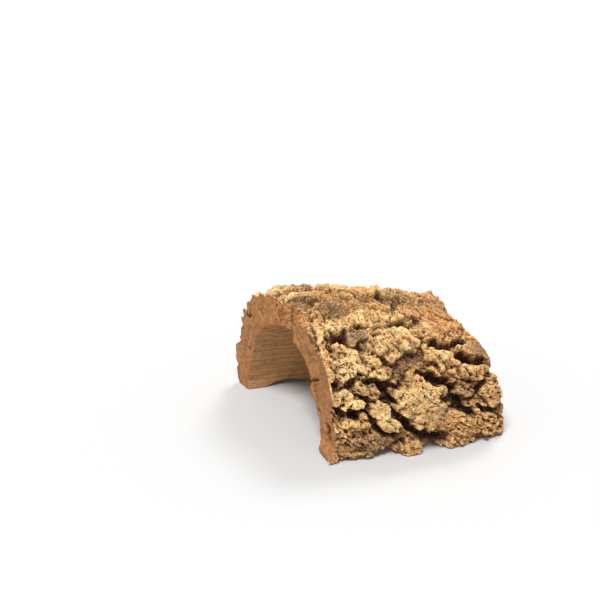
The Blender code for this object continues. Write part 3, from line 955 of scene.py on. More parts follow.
@dataclass
class BarkSlab:
    """The whole slab as one finely modelled piece. Lengths are in millimetres."""

    arch: Arch
    relief: BarkRelief
    steps: tuple[int, int, int] = (300, 560, 28)
    quick_steps: tuple[int, int, int] = (200, 380, 20)
    triangles: int = 188000
    edge_rounding: float = 3.0
    lip: float = 1.8
    ledge: float = 0.7
    ledge_step: float = 2.4
    border_fade: float = 0.02
    wide_blur: float = 4.5
    wall_blur: float = 2.0
    fine_blur: float = 1.2
    inside_box: float = 0.3
    sharp_deg: float = 38.0
    nick_reach: float = 12.0
    spikes: tuple[float, float] = (0.5, 1.5)
    wall_calm: float = 0.3
    calm_blur: float = 0.85
    calm_slopes: tuple[float, float] = (0.5, 1.6)
    steep_slopes: tuple[float, float] = (0.35, 1.4)
    shown_slopes: tuple[float, float] = (0.4, 1.8)
    lean_height: float = 3.0
    ledge_wave: Wave = Wave(12, 12, 0.8, 77)
    edge_share: float = 0.03
    relief_range: float = 16.0
    hollow_range: float = 6.0
    crumb_range: float = 1.5
    nick_shade_depth: float = 2.5
    nick_shakes: tuple[Wave, Wave] = (Wave(4, 4, 1.2, 54), Wave(4, 4, 1.2, 55))
    nick_edge: tuple[float, float] = (1.15, 0.55)
    broken_out: float = 3.0
    broken_waves: tuple[EndWave, ...] = (
        EndWave(9, 6, 2.6, 41), EndWave(4, 9, 1.4, 42), EndWave(6, 14, 1.1, 43, 3))
    split: EndWave = EndWave(5, 7, 2.4, 45, 4)
    saw_marks: EndWave = EndWave(3, 9, 0.16, 50, 2)
    end_pits: tuple[float, float, int] = (9, 3.2, 52)
    end_pit_depth: float = 1.6
    end_pit_edge: tuple[float, float] = (0.16, 0.06)
    end_pit_least: float = 0.45
    ground: tuple[float, float, float] = (0.5, 0.5, 0.1)
    place_digits: int = 7

    def build(self) -> bpy.types.Object:
        """Makes the slab, thins its flat stretches, planes its feet and gives each side its finish.

        Returns:
            The finished piece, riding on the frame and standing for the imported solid.
        """
        shell = Shell(self.steps)
        points, attributes = self.shaped(shell)
        mesh = bpy.data.meshes.new("cork_bark_slab")
        mesh.vertices.add(len(points))
        mesh.vertices.foreach_set("co", (points * MM).astype(np.float32).ravel())
        mesh.loops.add(shell.faces.size)
        mesh.loops.foreach_set("vertex_index", shell.faces.astype(np.int32).ravel())
        mesh.polygons.add(len(shell.faces))
        mesh.polygons.foreach_set("loop_start", np.arange(0, shell.faces.size, 4, dtype=np.int32))
        mesh.polygons.foreach_set("material_index", self.sides_of_faces(shell, points).astype(np.int32))
        mesh.update(calc_edges=True)
        for name, values in attributes.items():
            mesh.attributes.new(name, "FLOAT", "POINT").data.foreach_set("value", values.astype(np.float32))
        for finish in (BarkFinish(), BellyFinish(), SawnFinish(), BrokenFinish()):
            mesh.materials.append(finish.material())
        slab = bpy.data.objects.new("cork_bark_slab", mesh)
        bpy.context.scene.collection.objects.link(slab)
        self.thin_and_plane(slab, 2 * len(shell.faces))
        slab.data.shade_smooth()
        slab.data.set_sharp_from_angle(angle=math.radians(self.sharp_deg))
        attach(slab, BODY)
        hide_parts(NODE)
        return slab

    def shaped(self, shell: Shell) -> tuple[Array, dict[str, Array]]:
        """Places every corner of the shell.

        Args:
            shell: The block's outside.

        Returns:
            The corners in space, and the values that the finishes read at each of them.
        """
        p, q, w = shell.places.T
        x, s = self.arch.place(p, q, w)
        inside = self.relief.belly(x, s) - self.arch.thickness(x, s)
        lining = (w < 0.5) * self.fade(p, q) * self.relief.belly_detail(x, s)
        outer = np.zeros_like(x)
        off_belly = w > 0
        outer[off_belly] = self.relief.full(x[off_belly], s[off_belly])
        grid = shell.bark_corners
        outer[grid] = self.calmed_walls(Noise.despiked(outer[grid], *self.spikes), s[grid])
        out = inside + (outer - inside) * w + lining * (w == 0)
        shift_x, shift_s, looks = self.walls(x[grid], s[grid], outer[grid], self.fade(p, q)[grid])
        moved_x, moved_s = x.copy(), s.copy()
        moved_x[grid] += shift_x
        moved_s[grid] += shift_s
        y, z, ny, nz = self.arch.surface(moved_x, moved_s)
        y, z = y + ny * out, z + nz * out
        middle = 4 * w * (1 - w)
        moved_x = moved_x + (p == 1) * middle * self.broken_face(s, w)
        rounded = Noise.smoothstep(self.edge_share, 0.0, q) + Noise.smoothstep(1 - self.edge_share, 1.0, q)
        z = z - rounded * middle * self.edge_rounding
        nicks = self.nicks(s, w * self.arch.thickness(x, s)) * (1 - self.arch.bite(s))
        left = self.arch.left_end(y, s, w)
        moved_x = np.where(p == 0, left + middle * self.sawn_face(s, w), moved_x)
        moved_x = moved_x + nicks * np.clip(1 - (moved_x - left) / self.nick_reach, 0, 1)
        points = np.stack([moved_x - self.arch.origin_x, y - self.arch.origin_y, z], axis=-1)
        low, high = (np.array(corner) / MM for corner in CAD_BOX)
        points[:, :2] = np.clip(points[:, :2], low[:2] + self.inside_box, high[:2] - self.inside_box)
        points[:, 2] = np.minimum(points[:, 2], high[2] - self.inside_box)
        values = {name: np.full(len(x), 0.5) for name in looks}
        for name, value in looks.items():
            values[name][grid] = value
        values["along"] = x
        values["through"] = w
        # Painted shade: the sawn end's dents are painted darker the deeper they are.
        values["nick"] = (p == 0) * np.clip(nicks / self.nick_shade_depth, 0, 1)
        values["around"] = s
        for tone in Tone:
            values[tone.value] = self.relief.tone(tone, x, s)
        return points, values

    @staticmethod
    def spacing(s: Array) -> float:
        """The mean distance between the grid's neighbours round the arch."""
        return float(np.mean(np.abs(np.diff(s, axis=1))))

    def softened(self, height: Array, s: Array, width: float) -> Array:
        """The grid of heights blurred over a width in millimetres."""
        return Noise.blurred(height, round(2 * (width / self.spacing(s)) ** 2))

    def calmed_walls(self, height: Array, s: Array) -> Array:
        """The grid of heights with less grit where it is steep, so that walls look split and not spiny."""
        fine = self.softened(height, s, self.calm_blur)
        slope = np.hypot(*np.gradient(fine)) / self.spacing(s)
        return height + self.wall_calm * Noise.smoothstep(*self.calm_slopes, slope) * (fine - height)

    def fade(self, p: Array, q: Array) -> Array:
        """0 at the borders of the bark side, and 1 away from them."""
        border = np.minimum(np.minimum(p, 1 - p), np.minimum(q, 1 - q))
        return Noise.smoothstep(0.0, self.border_fade, border)

    def walls(self, x: Array, s: Array, height: Array, fade: Array) -> tuple[Array, Array, dict[str, Array]]:
        """Leans the walls between plates over, and steps them into ledges, like split layers.

        Args:
            x: Grid of places along the trunk.
            s: Grid of places round the arch.
            height: Grid of relief heights.
            fade: Grid that is 0 where nothing may move.

        Returns:
            How far each point moves along x and along s, and the values that the finishes read there.
        """
        wide, massed, fine = (self.softened(height, s, width)
                              for width in (self.wide_blur, self.wall_blur, self.fine_blur))
        xp, xq = np.gradient(x)
        sp, sq = np.gradient(s)
        hp, hq = np.gradient(massed)
        area = xp * sq - xq * sp
        slope_x, slope_s = (hp * sq - hq * sp) / area, (hq * xp - hp * xq) / area
        slope = np.hypot(slope_x, slope_s) + 1e-6
        steep = Noise.smoothstep(*self.steep_slopes, slope)
        phase = (height + Noise.wave(x, s, self.ledge_wave)) / self.ledge_step
        ledge = self.ledge * (4 * np.abs(phase - np.floor(phase) - 0.5) - 1)
        lean = self.lip * np.clip((massed - wide) / self.lean_height, -1, 1)
        shift = -(lean + ledge) * steep * fade / slope
        looks = {
            "relief": self.centred(height, self.relief_range),
            "hollow": self.centred(height - wide, self.hollow_range),
            "crumb": self.centred(height - fine, self.crumb_range),
            "wall": Noise.smoothstep(*self.shown_slopes, slope),
        }
        return shift * slope_x, shift * slope_s, looks

    @staticmethod
    def centred(value: Array, reach: float) -> Array:
        """0.5 where the value is 0, 1 where it is the reach or more, and 0 where it is as far below."""
        return np.clip(0.5 + value / (2 * reach), 0, 1)

    def broken_face(self, s: Array, w: Array) -> Array:
        """How far the broken right end stands out between its belly edge and its bark edge."""
        out = self.broken_out
        for wave in self.broken_waves:
            out = out + Noise.end_wave(s, w, wave)
        return out

    def sawn_face(self, s: Array, w: Array) -> Array:
        """How far the left end stands out or in: nearly flat where sawn, rough where broken."""
        broken = self.arch.bite(s)
        length, count, seed = self.end_pits
        _, middle, own = Noise.cells(s, count * w, Cells(length, 1.0, seed))
        pit = self.end_pit_depth * Noise.smoothstep(*self.end_pit_edge, middle) * (own > self.end_pit_least)
        sawn = Noise.end_wave(s, w, self.saw_marks) + pit
        return broken * Noise.end_wave(s, w, self.split) + (1 - broken) * sawn

    def nicks(self, s: Array, out: Array) -> Array:
        """Depth of the sawn end's dents at s round the arch, and out millimetres from the belly."""
        shake_s, shake_out = self.nick_shakes
        s = s + Noise.wave(s, out, shake_s)
        out = out + Noise.wave(s, out, shake_out)
        depth = np.zeros(s.shape)
        for nick in SAWN_NICKS:
            far = np.hypot((s - nick.s) / (nick.length / 2), (out - nick.out) / (nick.width / 2))
            depth = np.maximum(depth, nick.depth * Noise.smoothstep(*self.nick_edge, far))
        return depth

    def sides_of_faces(self, shell: Shell, points: Array) -> Array:
        """The material index of each face. The left end is broken, and not sawn, where the bite is."""
        s = self.arch.place(*shell.places.T)[1]
        bitten = self.arch.bite(s[shell.faces].mean(axis=1)) > 0.5
        broken = (shell.face_sides == Side.SAWN_END.value) & bitten
        return np.where(broken, Side.BROKEN.value, shell.face_sides)

    def thin_and_plane(self, slab: bpy.types.Object, triangles: int) -> None:
        """Thins the mesh to its number of triangles, and planes the feet at the floor."""
        thin = slab.modifiers.new("fewer_faces", "DECIMATE")
        thin.decimate_type = "COLLAPSE"
        thin.ratio = min(1.0, self.triangles / triangles)
        ground = bpy.data.meshes.new("ground")
        shape = bmesh.new()
        bmesh.ops.create_cube(shape, size=1.0)
        bmesh.ops.scale(shape, vec=self.ground, verts=shape.verts)
        bmesh.ops.translate(shape, vec=(0, 0, -self.ground[2] / 2), verts=shape.verts)
        shape.to_mesh(ground)
        shape.free()
        cutter = bpy.data.objects.new("ground", ground)
        bpy.context.scene.collection.objects.link(cutter)
        planed = slab.modifiers.new("planed_feet", "BOOLEAN")
        planed.operation = "DIFFERENCE"
        planed.solver = "MANIFOLD"
        planed.object = cutter
        bpy.context.view_layer.update()
        graph = bpy.context.evaluated_depsgraph_get()
        finished = bpy.data.meshes.new_from_object(slab.evaluated_get(graph), depsgraph=graph)
        slab.modifiers.clear()
        slab.data = self.without_slivers(finished)
        bpy.data.objects.remove(cutter)

    def without_slivers(self, mesh: bpy.types.Mesh) -> bpy.types.Mesh:
        """The mesh without the few slivers, two faces back to back, that thinning and planing leave."""
        shape = bmesh.new()
        shape.from_mesh(mesh)
        bmesh.ops.triangulate(shape, faces=shape.faces)
        by_corners = {}
        for face in shape.faces:
            places = (tuple(round(c, self.place_digits) for c in corner.co) for corner in face.verts)
            by_corners.setdefault(frozenset(places), []).append(face)
        folded = [face for faces in by_corners.values() if len(faces) > 1 for face in faces]
        bmesh.ops.delete(shape, geom=folded, context="FACES")
        bmesh.ops.remove_doubles(shape, verts=shape.verts, dist=10.0**-self.place_digits)
        open_edges = sum(not edge.is_manifold for edge in shape.edges)
        log.info("bark slab: %d sliver faces removed, %d open edges", len(folded), open_edges)
        shape.to_mesh(mesh)
        shape.free()
        return mesh


class Nodes:
    """A short hand for building a shader's or a node group's tree."""

    COLOUR_A = 6
    COLOUR_B = 7
    COLOUR_RESULT = 2

    def __init__(self, tree: bpy.types.NodeTree) -> None:
        """Starts on the tree of a material, a world or a node group."""
        self.tree = tree

    def add(self, kind: str, **settings: object) -> bpy.types.Node:
        """A new node of one kind, with its settings."""
        node = self.tree.nodes.new(kind)
        for name, value in settings.items():
            setattr(node, name, value)
        return node

    def feed(self, target: Socket, value: "Socket | float | Sequence[float]") -> None:
        """Links a socket to the target, or sets the target's own value."""
        if isinstance(value, bpy.types.NodeSocket):
            self.tree.links.new(value, target)
        elif isinstance(value, tuple) and len(value) == 3 and target.type == "RGBA":
            target.default_value = (*value, 1.0)
        else:
            target.default_value = value

    def attribute(self, name: str) -> Socket:
        """The value that the mesh holds under a name."""
        return self.add("ShaderNodeAttribute", attribute_name=name).outputs["Fac"]

    def place_mm(self) -> Socket:
        """The place on the object, in millimetres."""
        place = self.add("ShaderNodeTexCoord").outputs["Object"]
        return self.scaled(place, (1 / MM, 1 / MM, 1 / MM))

    def scaled(self, vector: Socket, by: tuple[float, float, float]) -> Socket:
        """A vector stretched along its three directions."""
        node = self.add("ShaderNodeVectorMath", operation="MULTIPLY")
        self.feed(node.inputs[0], vector)
        self.feed(node.inputs[1], by)
        return node.outputs[0]

    def vector(self, x: "Socket | float", y: "Socket | float", z: "Socket | float") -> Socket:
        """A vector from three values."""
        node = self.add("ShaderNodeCombineXYZ")
        for target, value in zip(node.inputs, (x, y, z)):
            self.feed(target, value)
        return node.outputs[0]

    def math(self, operation: str, first: "Socket | float", second: "Socket | float" = 0.0) -> Socket:
        """The result of one operation on two values."""
        node = self.add("ShaderNodeMath", operation=operation)
        self.feed(node.inputs[0], first)
        self.feed(node.inputs[1], second)
        return node.outputs[0]

    def times(self, *values: "Socket | float") -> Socket:
        """The product of several values."""
        product = values[0]
        for value in values[1:]:
            product = self.math("MULTIPLY", product, value)
        return product

    def between(self, value: Socket, low: float, high: float) -> Socket:
        """0 at low, 1 at high and a smooth S between. With low above high it falls instead."""
        node = self.add("ShaderNodeMapRange", interpolation_type="SMOOTHSTEP")
        self.feed(node.inputs["Value"], value)
        falls = low > high
        node.inputs["From Min"].default_value = high if falls else low
        node.inputs["From Max"].default_value = low if falls else high
        node.inputs["To Min"].default_value = 1.0 if falls else 0.0
        node.inputs["To Max"].default_value = 0.0 if falls else 1.0
        return node.outputs["Result"]

    def noise(self, place: Socket, size: float, detail: float = 3.0, roughness: float = 0.55) -> Socket:
        """Cloudy noise from 0 to 1, with features of one size in the place's own unit."""
        node = self.add("ShaderNodeTexNoise")
        self.feed(node.inputs["Vector"], place)
        node.inputs["Scale"].default_value = 1.0 / size
        node.inputs["Detail"].default_value = detail
        node.inputs["Roughness"].default_value = roughness
        return node.outputs["Fac"]

    def dots(self, place: Socket, spacing: float) -> tuple[Socket, Socket]:
        """Distance from the nearest of scattered dots, and a value that differs from dot to dot."""
        node = self.add("ShaderNodeTexVoronoi")
        self.feed(node.inputs["Vector"], place)
        node.inputs["Scale"].default_value = 1.0 / spacing
        shade = self.add("ShaderNodeSeparateColor")
        self.feed(shade.inputs[0], node.outputs["Color"])
        return node.outputs["Distance"], shade.outputs[0]

    def mix(self, share: "Socket | float", first: "Socket | Colour", second: "Socket | Colour") -> Socket:
        """The first colour where the share is 0, and the second where it is 1."""
        node = self.add("ShaderNodeMix", data_type="RGBA")
        self.feed(node.inputs[0], share)
        self.feed(node.inputs[self.COLOUR_A], first)
        self.feed(node.inputs[self.COLOUR_B], second)
        return node.outputs[self.COLOUR_RESULT]

    def tinted(self, colour: "Socket | Colour", tint: "Socket | Colour", value: Socket, low: float,
               high: float, share: float) -> Socket:
        """A colour with a tint over it.

        Args:
            colour: The colour under the tint.
            tint: The tint.
            value: What decides where the tint shows.
            low: The value at which there is no tint.
            high: The value at which there is most. Below low, the tint shows where the value is small.
            share: How much of the tint there is at most.

        Returns:
            The tinted colour.
        """
        return self.mix(self.times(self.between(value, low, high), share), colour, tint)

    def group(self, made: bpy.types.NodeTree, **values: "Socket | float") -> bpy.types.Node:
        """A shared node group, with its inputs by name. A name's underscores stand for spaces."""
        node = self.add("ShaderNodeGroup", node_tree=made)
        for name, value in values.items():
            self.feed(node.inputs[name.replace("_", " ")], value)
        return node


def srgb(red: int, green: int, blue: int) -> Colour:
    """A screen colour, as the linear values that a shader takes."""
    shares = (c / 255 for c in (red, green, blue))
    return tuple(c / 12.92 if c <= 0.04045 else ((c + 0.055) / 1.055) ** 2.4 for c in shares)


class Effects:
    """Shader effects that several finishes share, each built once as a node group."""

    @staticmethod
    def start(name: str, inputs: Sequence[tuple[str, str]],
              outputs: Sequence[str]) -> tuple[Nodes, dict[str, Socket]]:
        """A new, empty node group.

        Args:
            name: The group's name.
            inputs: Name and socket type of each input.
            outputs: Name of each output. All are plain values.

        Returns:
            The builder of its tree, and its inputs by name.
        """
        tree = bpy.data.node_groups.new(name, "ShaderNodeTree")
        for label, kind in inputs:
            tree.interface.new_socket(label, in_out="INPUT", socket_type=kind)
        for label in outputs:
            tree.interface.new_socket(label, in_out="OUTPUT", socket_type="NodeSocketFloat")
        nodes = Nodes(tree)
        entry = nodes.add("NodeGroupInput")
        return nodes, {label: entry.outputs[label] for label, _ in inputs}

    @staticmethod
    def end(nodes: Nodes, **values: Socket) -> bpy.types.NodeTree:
        """Feeds a group's outputs by name, and gives back its tree."""
        leave = nodes.add("NodeGroupOutput")
        for name, value in values.items():
            nodes.feed(leave.inputs[name], value)
        return nodes.tree

    @staticmethod
    def known(name: str) -> "bpy.types.NodeTree | None":
        """The group of that name, if it is built already."""
        return bpy.data.node_groups.get(name)

    @classmethod
    def cork_grain(cls) -> bpy.types.NodeTree:
        """Mottling, dark pores and grit of dry cork. Its Place is in millimetres."""
        built = cls.known("cork_grain")
        if built:
            return built
        inputs = (("Place", "NodeSocketVector"), ("Pore Share", "NodeSocketFloat"))
        nodes, given = cls.start("cork_grain", inputs, ("Mottle", "Speckle", "Pores", "Height"))
        place = given["Place"]
        mottle = nodes.noise(place, size=7.0, detail=4.0, roughness=0.6)
        speckle = nodes.noise(place, size=1.9, detail=3.0, roughness=0.7)
        far, shade = nodes.dots(place, spacing=3.4)
        chosen = nodes.math("LESS_THAN", shade, given["Pore Share"])
        large = nodes.times(chosen, nodes.between(far, 0.36, 0.16))
        far, shade = nodes.dots(nodes.scaled(place, (1.0, 1.3, 1.1)), spacing=1.5)
        chosen = nodes.math("LESS_THAN", shade, given["Pore Share"])
        small = nodes.times(chosen, nodes.between(far, 0.42, 0.2))
        pores = nodes.math("MAXIMUM", large, nodes.times(small, 0.7))
        dust = nodes.noise(place, size=0.5, detail=2.0, roughness=0.6)
        grit = nodes.math("ADD", nodes.times(speckle, 0.6), nodes.times(dust, 0.3))
        height = nodes.math("SUBTRACT", grit, nodes.times(pores, 0.9))
        return cls.end(nodes, Mottle=mottle, Speckle=speckle, Pores=pores, Height=height)

    @classmethod
    def flaking(cls) -> bpy.types.NodeTree:
        """Small flakes that differ in shade, with thin cracks between them. Its Place counts in flakes."""
        built = cls.known("flaking")
        if built:
            return built
        nodes, given = cls.start("flaking", (("Place", "NodeSocketVector"),), ("Shade", "Cracks"))
        bent = nodes.add("ShaderNodeVectorMath", operation="ADD")
        shaken = nodes.add("ShaderNodeTexNoise")
        shaken.inputs["Scale"].default_value = 1.1
        nodes.feed(shaken.inputs["Vector"], given["Place"])
        nodes.feed(bent.inputs[0], given["Place"])
        nodes.feed(bent.inputs[1], nodes.scaled(shaken.outputs["Color"], (1.2, 1.2, 1.2)))
        shade = nodes.dots(bent.outputs[0], spacing=1.0)[1]
        edges = nodes.add("ShaderNodeTexVoronoi", feature="DISTANCE_TO_EDGE")
        edges.inputs["Scale"].default_value = 1.0
        nodes.feed(edges.inputs["Vector"], bent.outputs[0])
        cracks = nodes.between(edges.outputs["Distance"], 0.075, 0.015)
        return cls.end(nodes, Shade=shade, Cracks=cracks)

    @classmethod
    def growth_lines(cls) -> bpy.types.NodeTree:
        """Thin uneven lines across the second direction of its Place, which is in millimetres."""
        built = cls.known("growth_lines")
        if built:
            return built
        nodes, given = cls.start("growth_lines", (("Place", "NodeSocketVector"),), ("Broad", "Fine"))
        place = given["Place"]
        broad = nodes.noise(nodes.scaled(place, (0.05, 1.0, 0.05)), size=2.6, detail=3.0, roughness=0.5)
        fine = nodes.noise(nodes.scaled(place, (0.09, 1.0, 0.09)), size=0.8, detail=2.0, roughness=0.6)
        return cls.end(nodes, Broad=broad, Fine=fine)


class Finish:
    """What the finishes share: a matt shader with a bump."""

    name: str
    sheen: ClassVar[float] = 0.28

    def dressed(self, colour: Socket, roughness: Socket, height: Socket, nodes: Nodes, depth: float) -> None:
        """Joins a finish's colour, roughness and height to a shader.

        Args:
            colour: Base colour.
            roughness: Roughness.
            height: Bump height, in millimetres.
            nodes: The builder of the material's tree.
            depth: How strongly the height shows.
        """
        shader = nodes.add("ShaderNodeBsdfPrincipled")
        shader.inputs["Specular IOR Level"].default_value = self.sheen
        nodes.feed(shader.inputs["Base Color"], colour)
        nodes.feed(shader.inputs["Roughness"], roughness)
        bump = nodes.add("ShaderNodeBump")
        bump.inputs["Strength"].default_value = depth
        bump.inputs["Distance"].default_value = MM
        nodes.feed(bump.inputs["Height"], height)
        nodes.feed(shader.inputs["Normal"], bump.outputs["Normal"])
        output = nodes.add("ShaderNodeOutputMaterial")
        nodes.feed(output.inputs["Surface"], shader.outputs["BSDF"])

    def blank(self) -> tuple[bpy.types.Material, Nodes]:
        """A new material of the finish's name, with an empty tree."""
        material = bpy.data.materials.new(self.name)
        material.use_nodes = True
        material.node_tree.nodes.clear()
        return material, Nodes(material.node_tree)


@dataclass(frozen=True)
class BarkFinish(Finish):
    """Weathered outside: pale plates, pits, brown walls; painted shade in hollows and dents, painted
    highlights.
    """

    name: str = "bark_outside"
    tan: Colour = srgb(174, 118, 70)
    ochre: Colour = srgb(220, 164, 98)
    straw: Colour = srgb(255, 222, 157)
    grey_brown: Colour = srgb(118, 93, 69)
    rust: Colour = srgb(188, 122, 66)
    wall: Colour = srgb(138, 102, 70)
    wall_streak: Colour = srgb(98, 62, 42)
    # The crevice and hole colours are painted shade for the low places; pit also paints shade in small dents,
    # besides pores and cracks.
    crevice: Colour = srgb(96, 60, 53)
    hole_painted_shade: Colour = srgb(50, 29, 28)
    pit: Colour = srgb(72, 43, 37)

    def material(self) -> bpy.types.Material:
        """Builds the finish."""
        material, nodes = self.blank()
        place = nodes.place_mm()
        grain = nodes.group(Effects.cork_grain(), Place=place, Pore_Share=0.3)
        mottle, speckle, pores = (grain.outputs[n] for n in ("Mottle", "Speckle", "Pores"))
        relief, hollow, crumb, wall = (nodes.attribute(n) for n in ("relief", "hollow", "crumb", "wall"))
        tones = {tone: nodes.attribute(tone.value) for tone in Tone}
        clouds = nodes.noise(place, size=16.0, detail=4.0, roughness=0.6)
        flat = nodes.vector(nodes.attribute("along"), nodes.attribute("around"), nodes.times(relief, 6.0))
        streaks = nodes.noise(flat, size=1.5, detail=3.0, roughness=0.6)
        fibres = nodes.noise(nodes.scaled(flat, (0.45, 1.4, 1.0)), size=1.2, detail=2.0, roughness=0.6)
        flakes = nodes.group(Effects.flaking(), Place=nodes.scaled(place, (0.20, 0.27, 0.27))).outputs
        chips = nodes.group(Effects.flaking(), Place=nodes.scaled(place, (0.42, 0.5, 0.5))).outputs

        colour = nodes.mix(nodes.between(mottle, 0.35, 0.65), self.tan, self.ochre)
        rusty = nodes.times(tones[Tone.RUSTY], nodes.between(mottle, 0.7, 0.35))
        colour = nodes.mix(nodes.times(rusty, 0.9), colour, self.rust)
        weathered = nodes.times(tones[Tone.WEATHERED], nodes.between(mottle, 0.15, 0.5))
        colour = nodes.mix(nodes.times(weathered, 0.95), colour, self.grey_brown)
        unweathered = nodes.math("SUBTRACT", 1.0, nodes.times(weathered, 0.8))
        bleached = nodes.times(tones[Tone.BLEACHED], nodes.between(clouds, 0.32, 0.56), unweathered, 0.95)
        colour = nodes.mix(bleached, colour, self.straw)
        # Painted highlight: raised crumbs away from hollows are painted paler straw, as if caught by the
        # light.
        proud_painted_highlight = nodes.times(nodes.between(crumb, 0.5, 0.8), nodes.between(hollow, 0.4, 0.7), unweathered, 0.5)
        colour = nodes.mix(proud_painted_highlight, colour, self.straw)
        colour = nodes.tinted(colour, self.tan, chips["Shade"], 0.55, 0.9, 0.45)
        colour = nodes.tinted(colour, self.rust, flakes["Shade"], 0.7, 0.76, 0.2)

        # Partly painted shade: steep walls in the hollows take a darker streaked brown, the split layers' own
        # colour deepened as if shaded.
        sides = nodes.mix(nodes.between(streaks, 0.4, 0.62), self.wall_streak, self.wall)
        walls = nodes.times(wall, nodes.between(hollow, 0.8, 0.45))
        colour = nodes.mix(nodes.times(walls, 0.8), colour, sides)
        wide_cracks = nodes.times(flakes["Cracks"], nodes.between(clouds, 0.5, 0.62))
        fine_cracks = nodes.times(chips["Cracks"], nodes.between(mottle, 0.56, 0.68))
        split = nodes.math("MAXIMUM", wide_cracks, fine_cracks)
        colour = nodes.mix(nodes.times(split, 0.5), colour, self.pit)
        # Painted shade: small dents, where the crumb value is low, are painted darker brown, and the deepest
        # of them pit brown.
        colour = nodes.tinted(colour, self.wall_streak, crumb, 0.47, 0.3, 0.7)
        colour = nodes.tinted(colour, self.pit, crumb, 0.32, 0.12, 0.8)
        # Painted shade: low and hollow places are painted crevice brown, and the lowest near black, as if in
        # shadow.
        recess_painted_shade = nodes.math("MAXIMUM", nodes.between(relief, 0.36, 0.16), nodes.between(hollow, 0.3, 0.02))
        colour = nodes.mix(nodes.times(recess_painted_shade, 0.95), colour, self.crevice)
        colour = nodes.tinted(colour, self.hole_painted_shade, relief, 0.2, 0.02, 0.8)

        colour = nodes.tinted(colour, self.straw, speckle, 0.54, 0.66, 0.4)
        colour = nodes.tinted(colour, self.wall_streak, speckle, 0.46, 0.34, 0.42)
        colour = nodes.tinted(colour, self.straw, fibres, 0.54, 0.64, 0.3)
        colour = nodes.tinted(colour, self.wall_streak, fibres, 0.46, 0.36, 0.35)
        colour = nodes.mix(nodes.times(pores, 0.55), colour, self.pit)

        roughness = nodes.math("ADD", 0.82, nodes.times(speckle, 0.16))
        height = nodes.math("ADD", grain.outputs["Height"], nodes.times(streaks, wall, 1.2))
        height = nodes.math("ADD", height, nodes.times(chips["Shade"], 0.5))
        height = nodes.math("SUBTRACT", height, nodes.times(split, 1.2))
        self.dressed(colour, roughness, height, nodes, depth=0.75)
        return material


@dataclass(frozen=True)
class BellyFinish(Finish):
    """The smoother inner side, which lay against the trunk: warm brown, with fine lines along the trunk."""

    name: str = "bark_belly"
    base: Colour = srgb(170, 120, 76)
    pale: Colour = srgb(196, 152, 102)
    dark: Colour = srgb(118, 76, 48)
    pore: Colour = srgb(70, 42, 30)

    def material(self) -> bpy.types.Material:
        """Builds the finish."""
        material, nodes = self.blank()
        place = nodes.place_mm()
        grain = nodes.group(Effects.cork_grain(), Place=place, Pore_Share=0.2).outputs
        banded = nodes.vector(nodes.noise(place, size=30.0), nodes.attribute("around"), 0.0)
        lines = nodes.group(Effects.growth_lines(), Place=banded).outputs
        colour = nodes.mix(nodes.between(lines["Broad"], 0.35, 0.65), self.base, self.pale)
        colour = nodes.tinted(colour, self.dark, lines["Fine"], 0.5, 0.7, 0.6)
        colour = nodes.tinted(colour, self.dark, grain["Mottle"], 0.5, 0.75, 0.5)
        colour = nodes.mix(nodes.times(grain["Pores"], 0.6), colour, self.pore)
        roughness = nodes.math("ADD", 0.72, nodes.times(grain["Mottle"], 0.25))
        height = nodes.math("ADD", grain["Height"], nodes.times(lines["Fine"], 0.6))
        self.dressed(colour, roughness, height, nodes, depth=0.45)
        return material


@dataclass(frozen=True)
class SawnFinish(Finish):
    """The sawn left end: clean orange-tan cork, with faint growth lines, small pores, a darker rim and painted
    shade in its dents.
    """

    name: str = "bark_sawn"
    base: Colour = srgb(146, 98, 56)
    pale: Colour = srgb(176, 127, 76)
    line: Colour = srgb(116, 72, 40)
    pore: Colour = srgb(92, 56, 34)
    rim: Colour = srgb(128, 84, 50)
    red: Colour = srgb(178, 98, 52)

    def material(self) -> bpy.types.Material:
        """Builds the finish."""
        material, nodes = self.blank()
        place = nodes.place_mm()
        through = nodes.attribute("through")
        grain = nodes.group(Effects.cork_grain(), Place=place, Pore_Share=0.24).outputs
        layered = nodes.vector(nodes.attribute("around"), nodes.times(through, Arch.bark_thickness), 0.0)
        lines = nodes.group(Effects.growth_lines(), Place=layered).outputs
        colour = nodes.mix(nodes.between(grain["Mottle"], 0.35, 0.65), self.base, self.pale)
        colour = nodes.tinted(colour, self.line, lines["Broad"], 0.5, 0.68, 0.55)
        colour = nodes.tinted(colour, self.line, lines["Fine"], 0.55, 0.7, 0.3)
        colour = nodes.mix(nodes.times(grain["Pores"], 0.75), colour, self.pore)
        # Painted shade: the sawn end's dents are painted darker the deeper they are.
        colour = nodes.tinted(colour, self.pore, nodes.attribute("nick"), 0.15, 0.8, 0.85)
        reddened = nodes.times(nodes.between(through, 0.35, 0.03), nodes.between(grain["Mottle"], 0.4, 0.6))
        colour = nodes.mix(nodes.times(reddened, 0.55), colour, self.red)
        edge = nodes.math("MAXIMUM", nodes.between(through, 0.9, 1.0), nodes.between(through, 0.07, 0.0))
        ragged = nodes.times(edge, nodes.between(grain["Speckle"], 0.35, 0.6))
        colour = nodes.mix(nodes.times(ragged, 0.8), colour, self.rim)
        roughness = nodes.math("ADD", 0.74, nodes.times(grain["Speckle"], 0.2))
        self.dressed(colour, roughness, grain["Height"], nodes, depth=0.3)
        return material


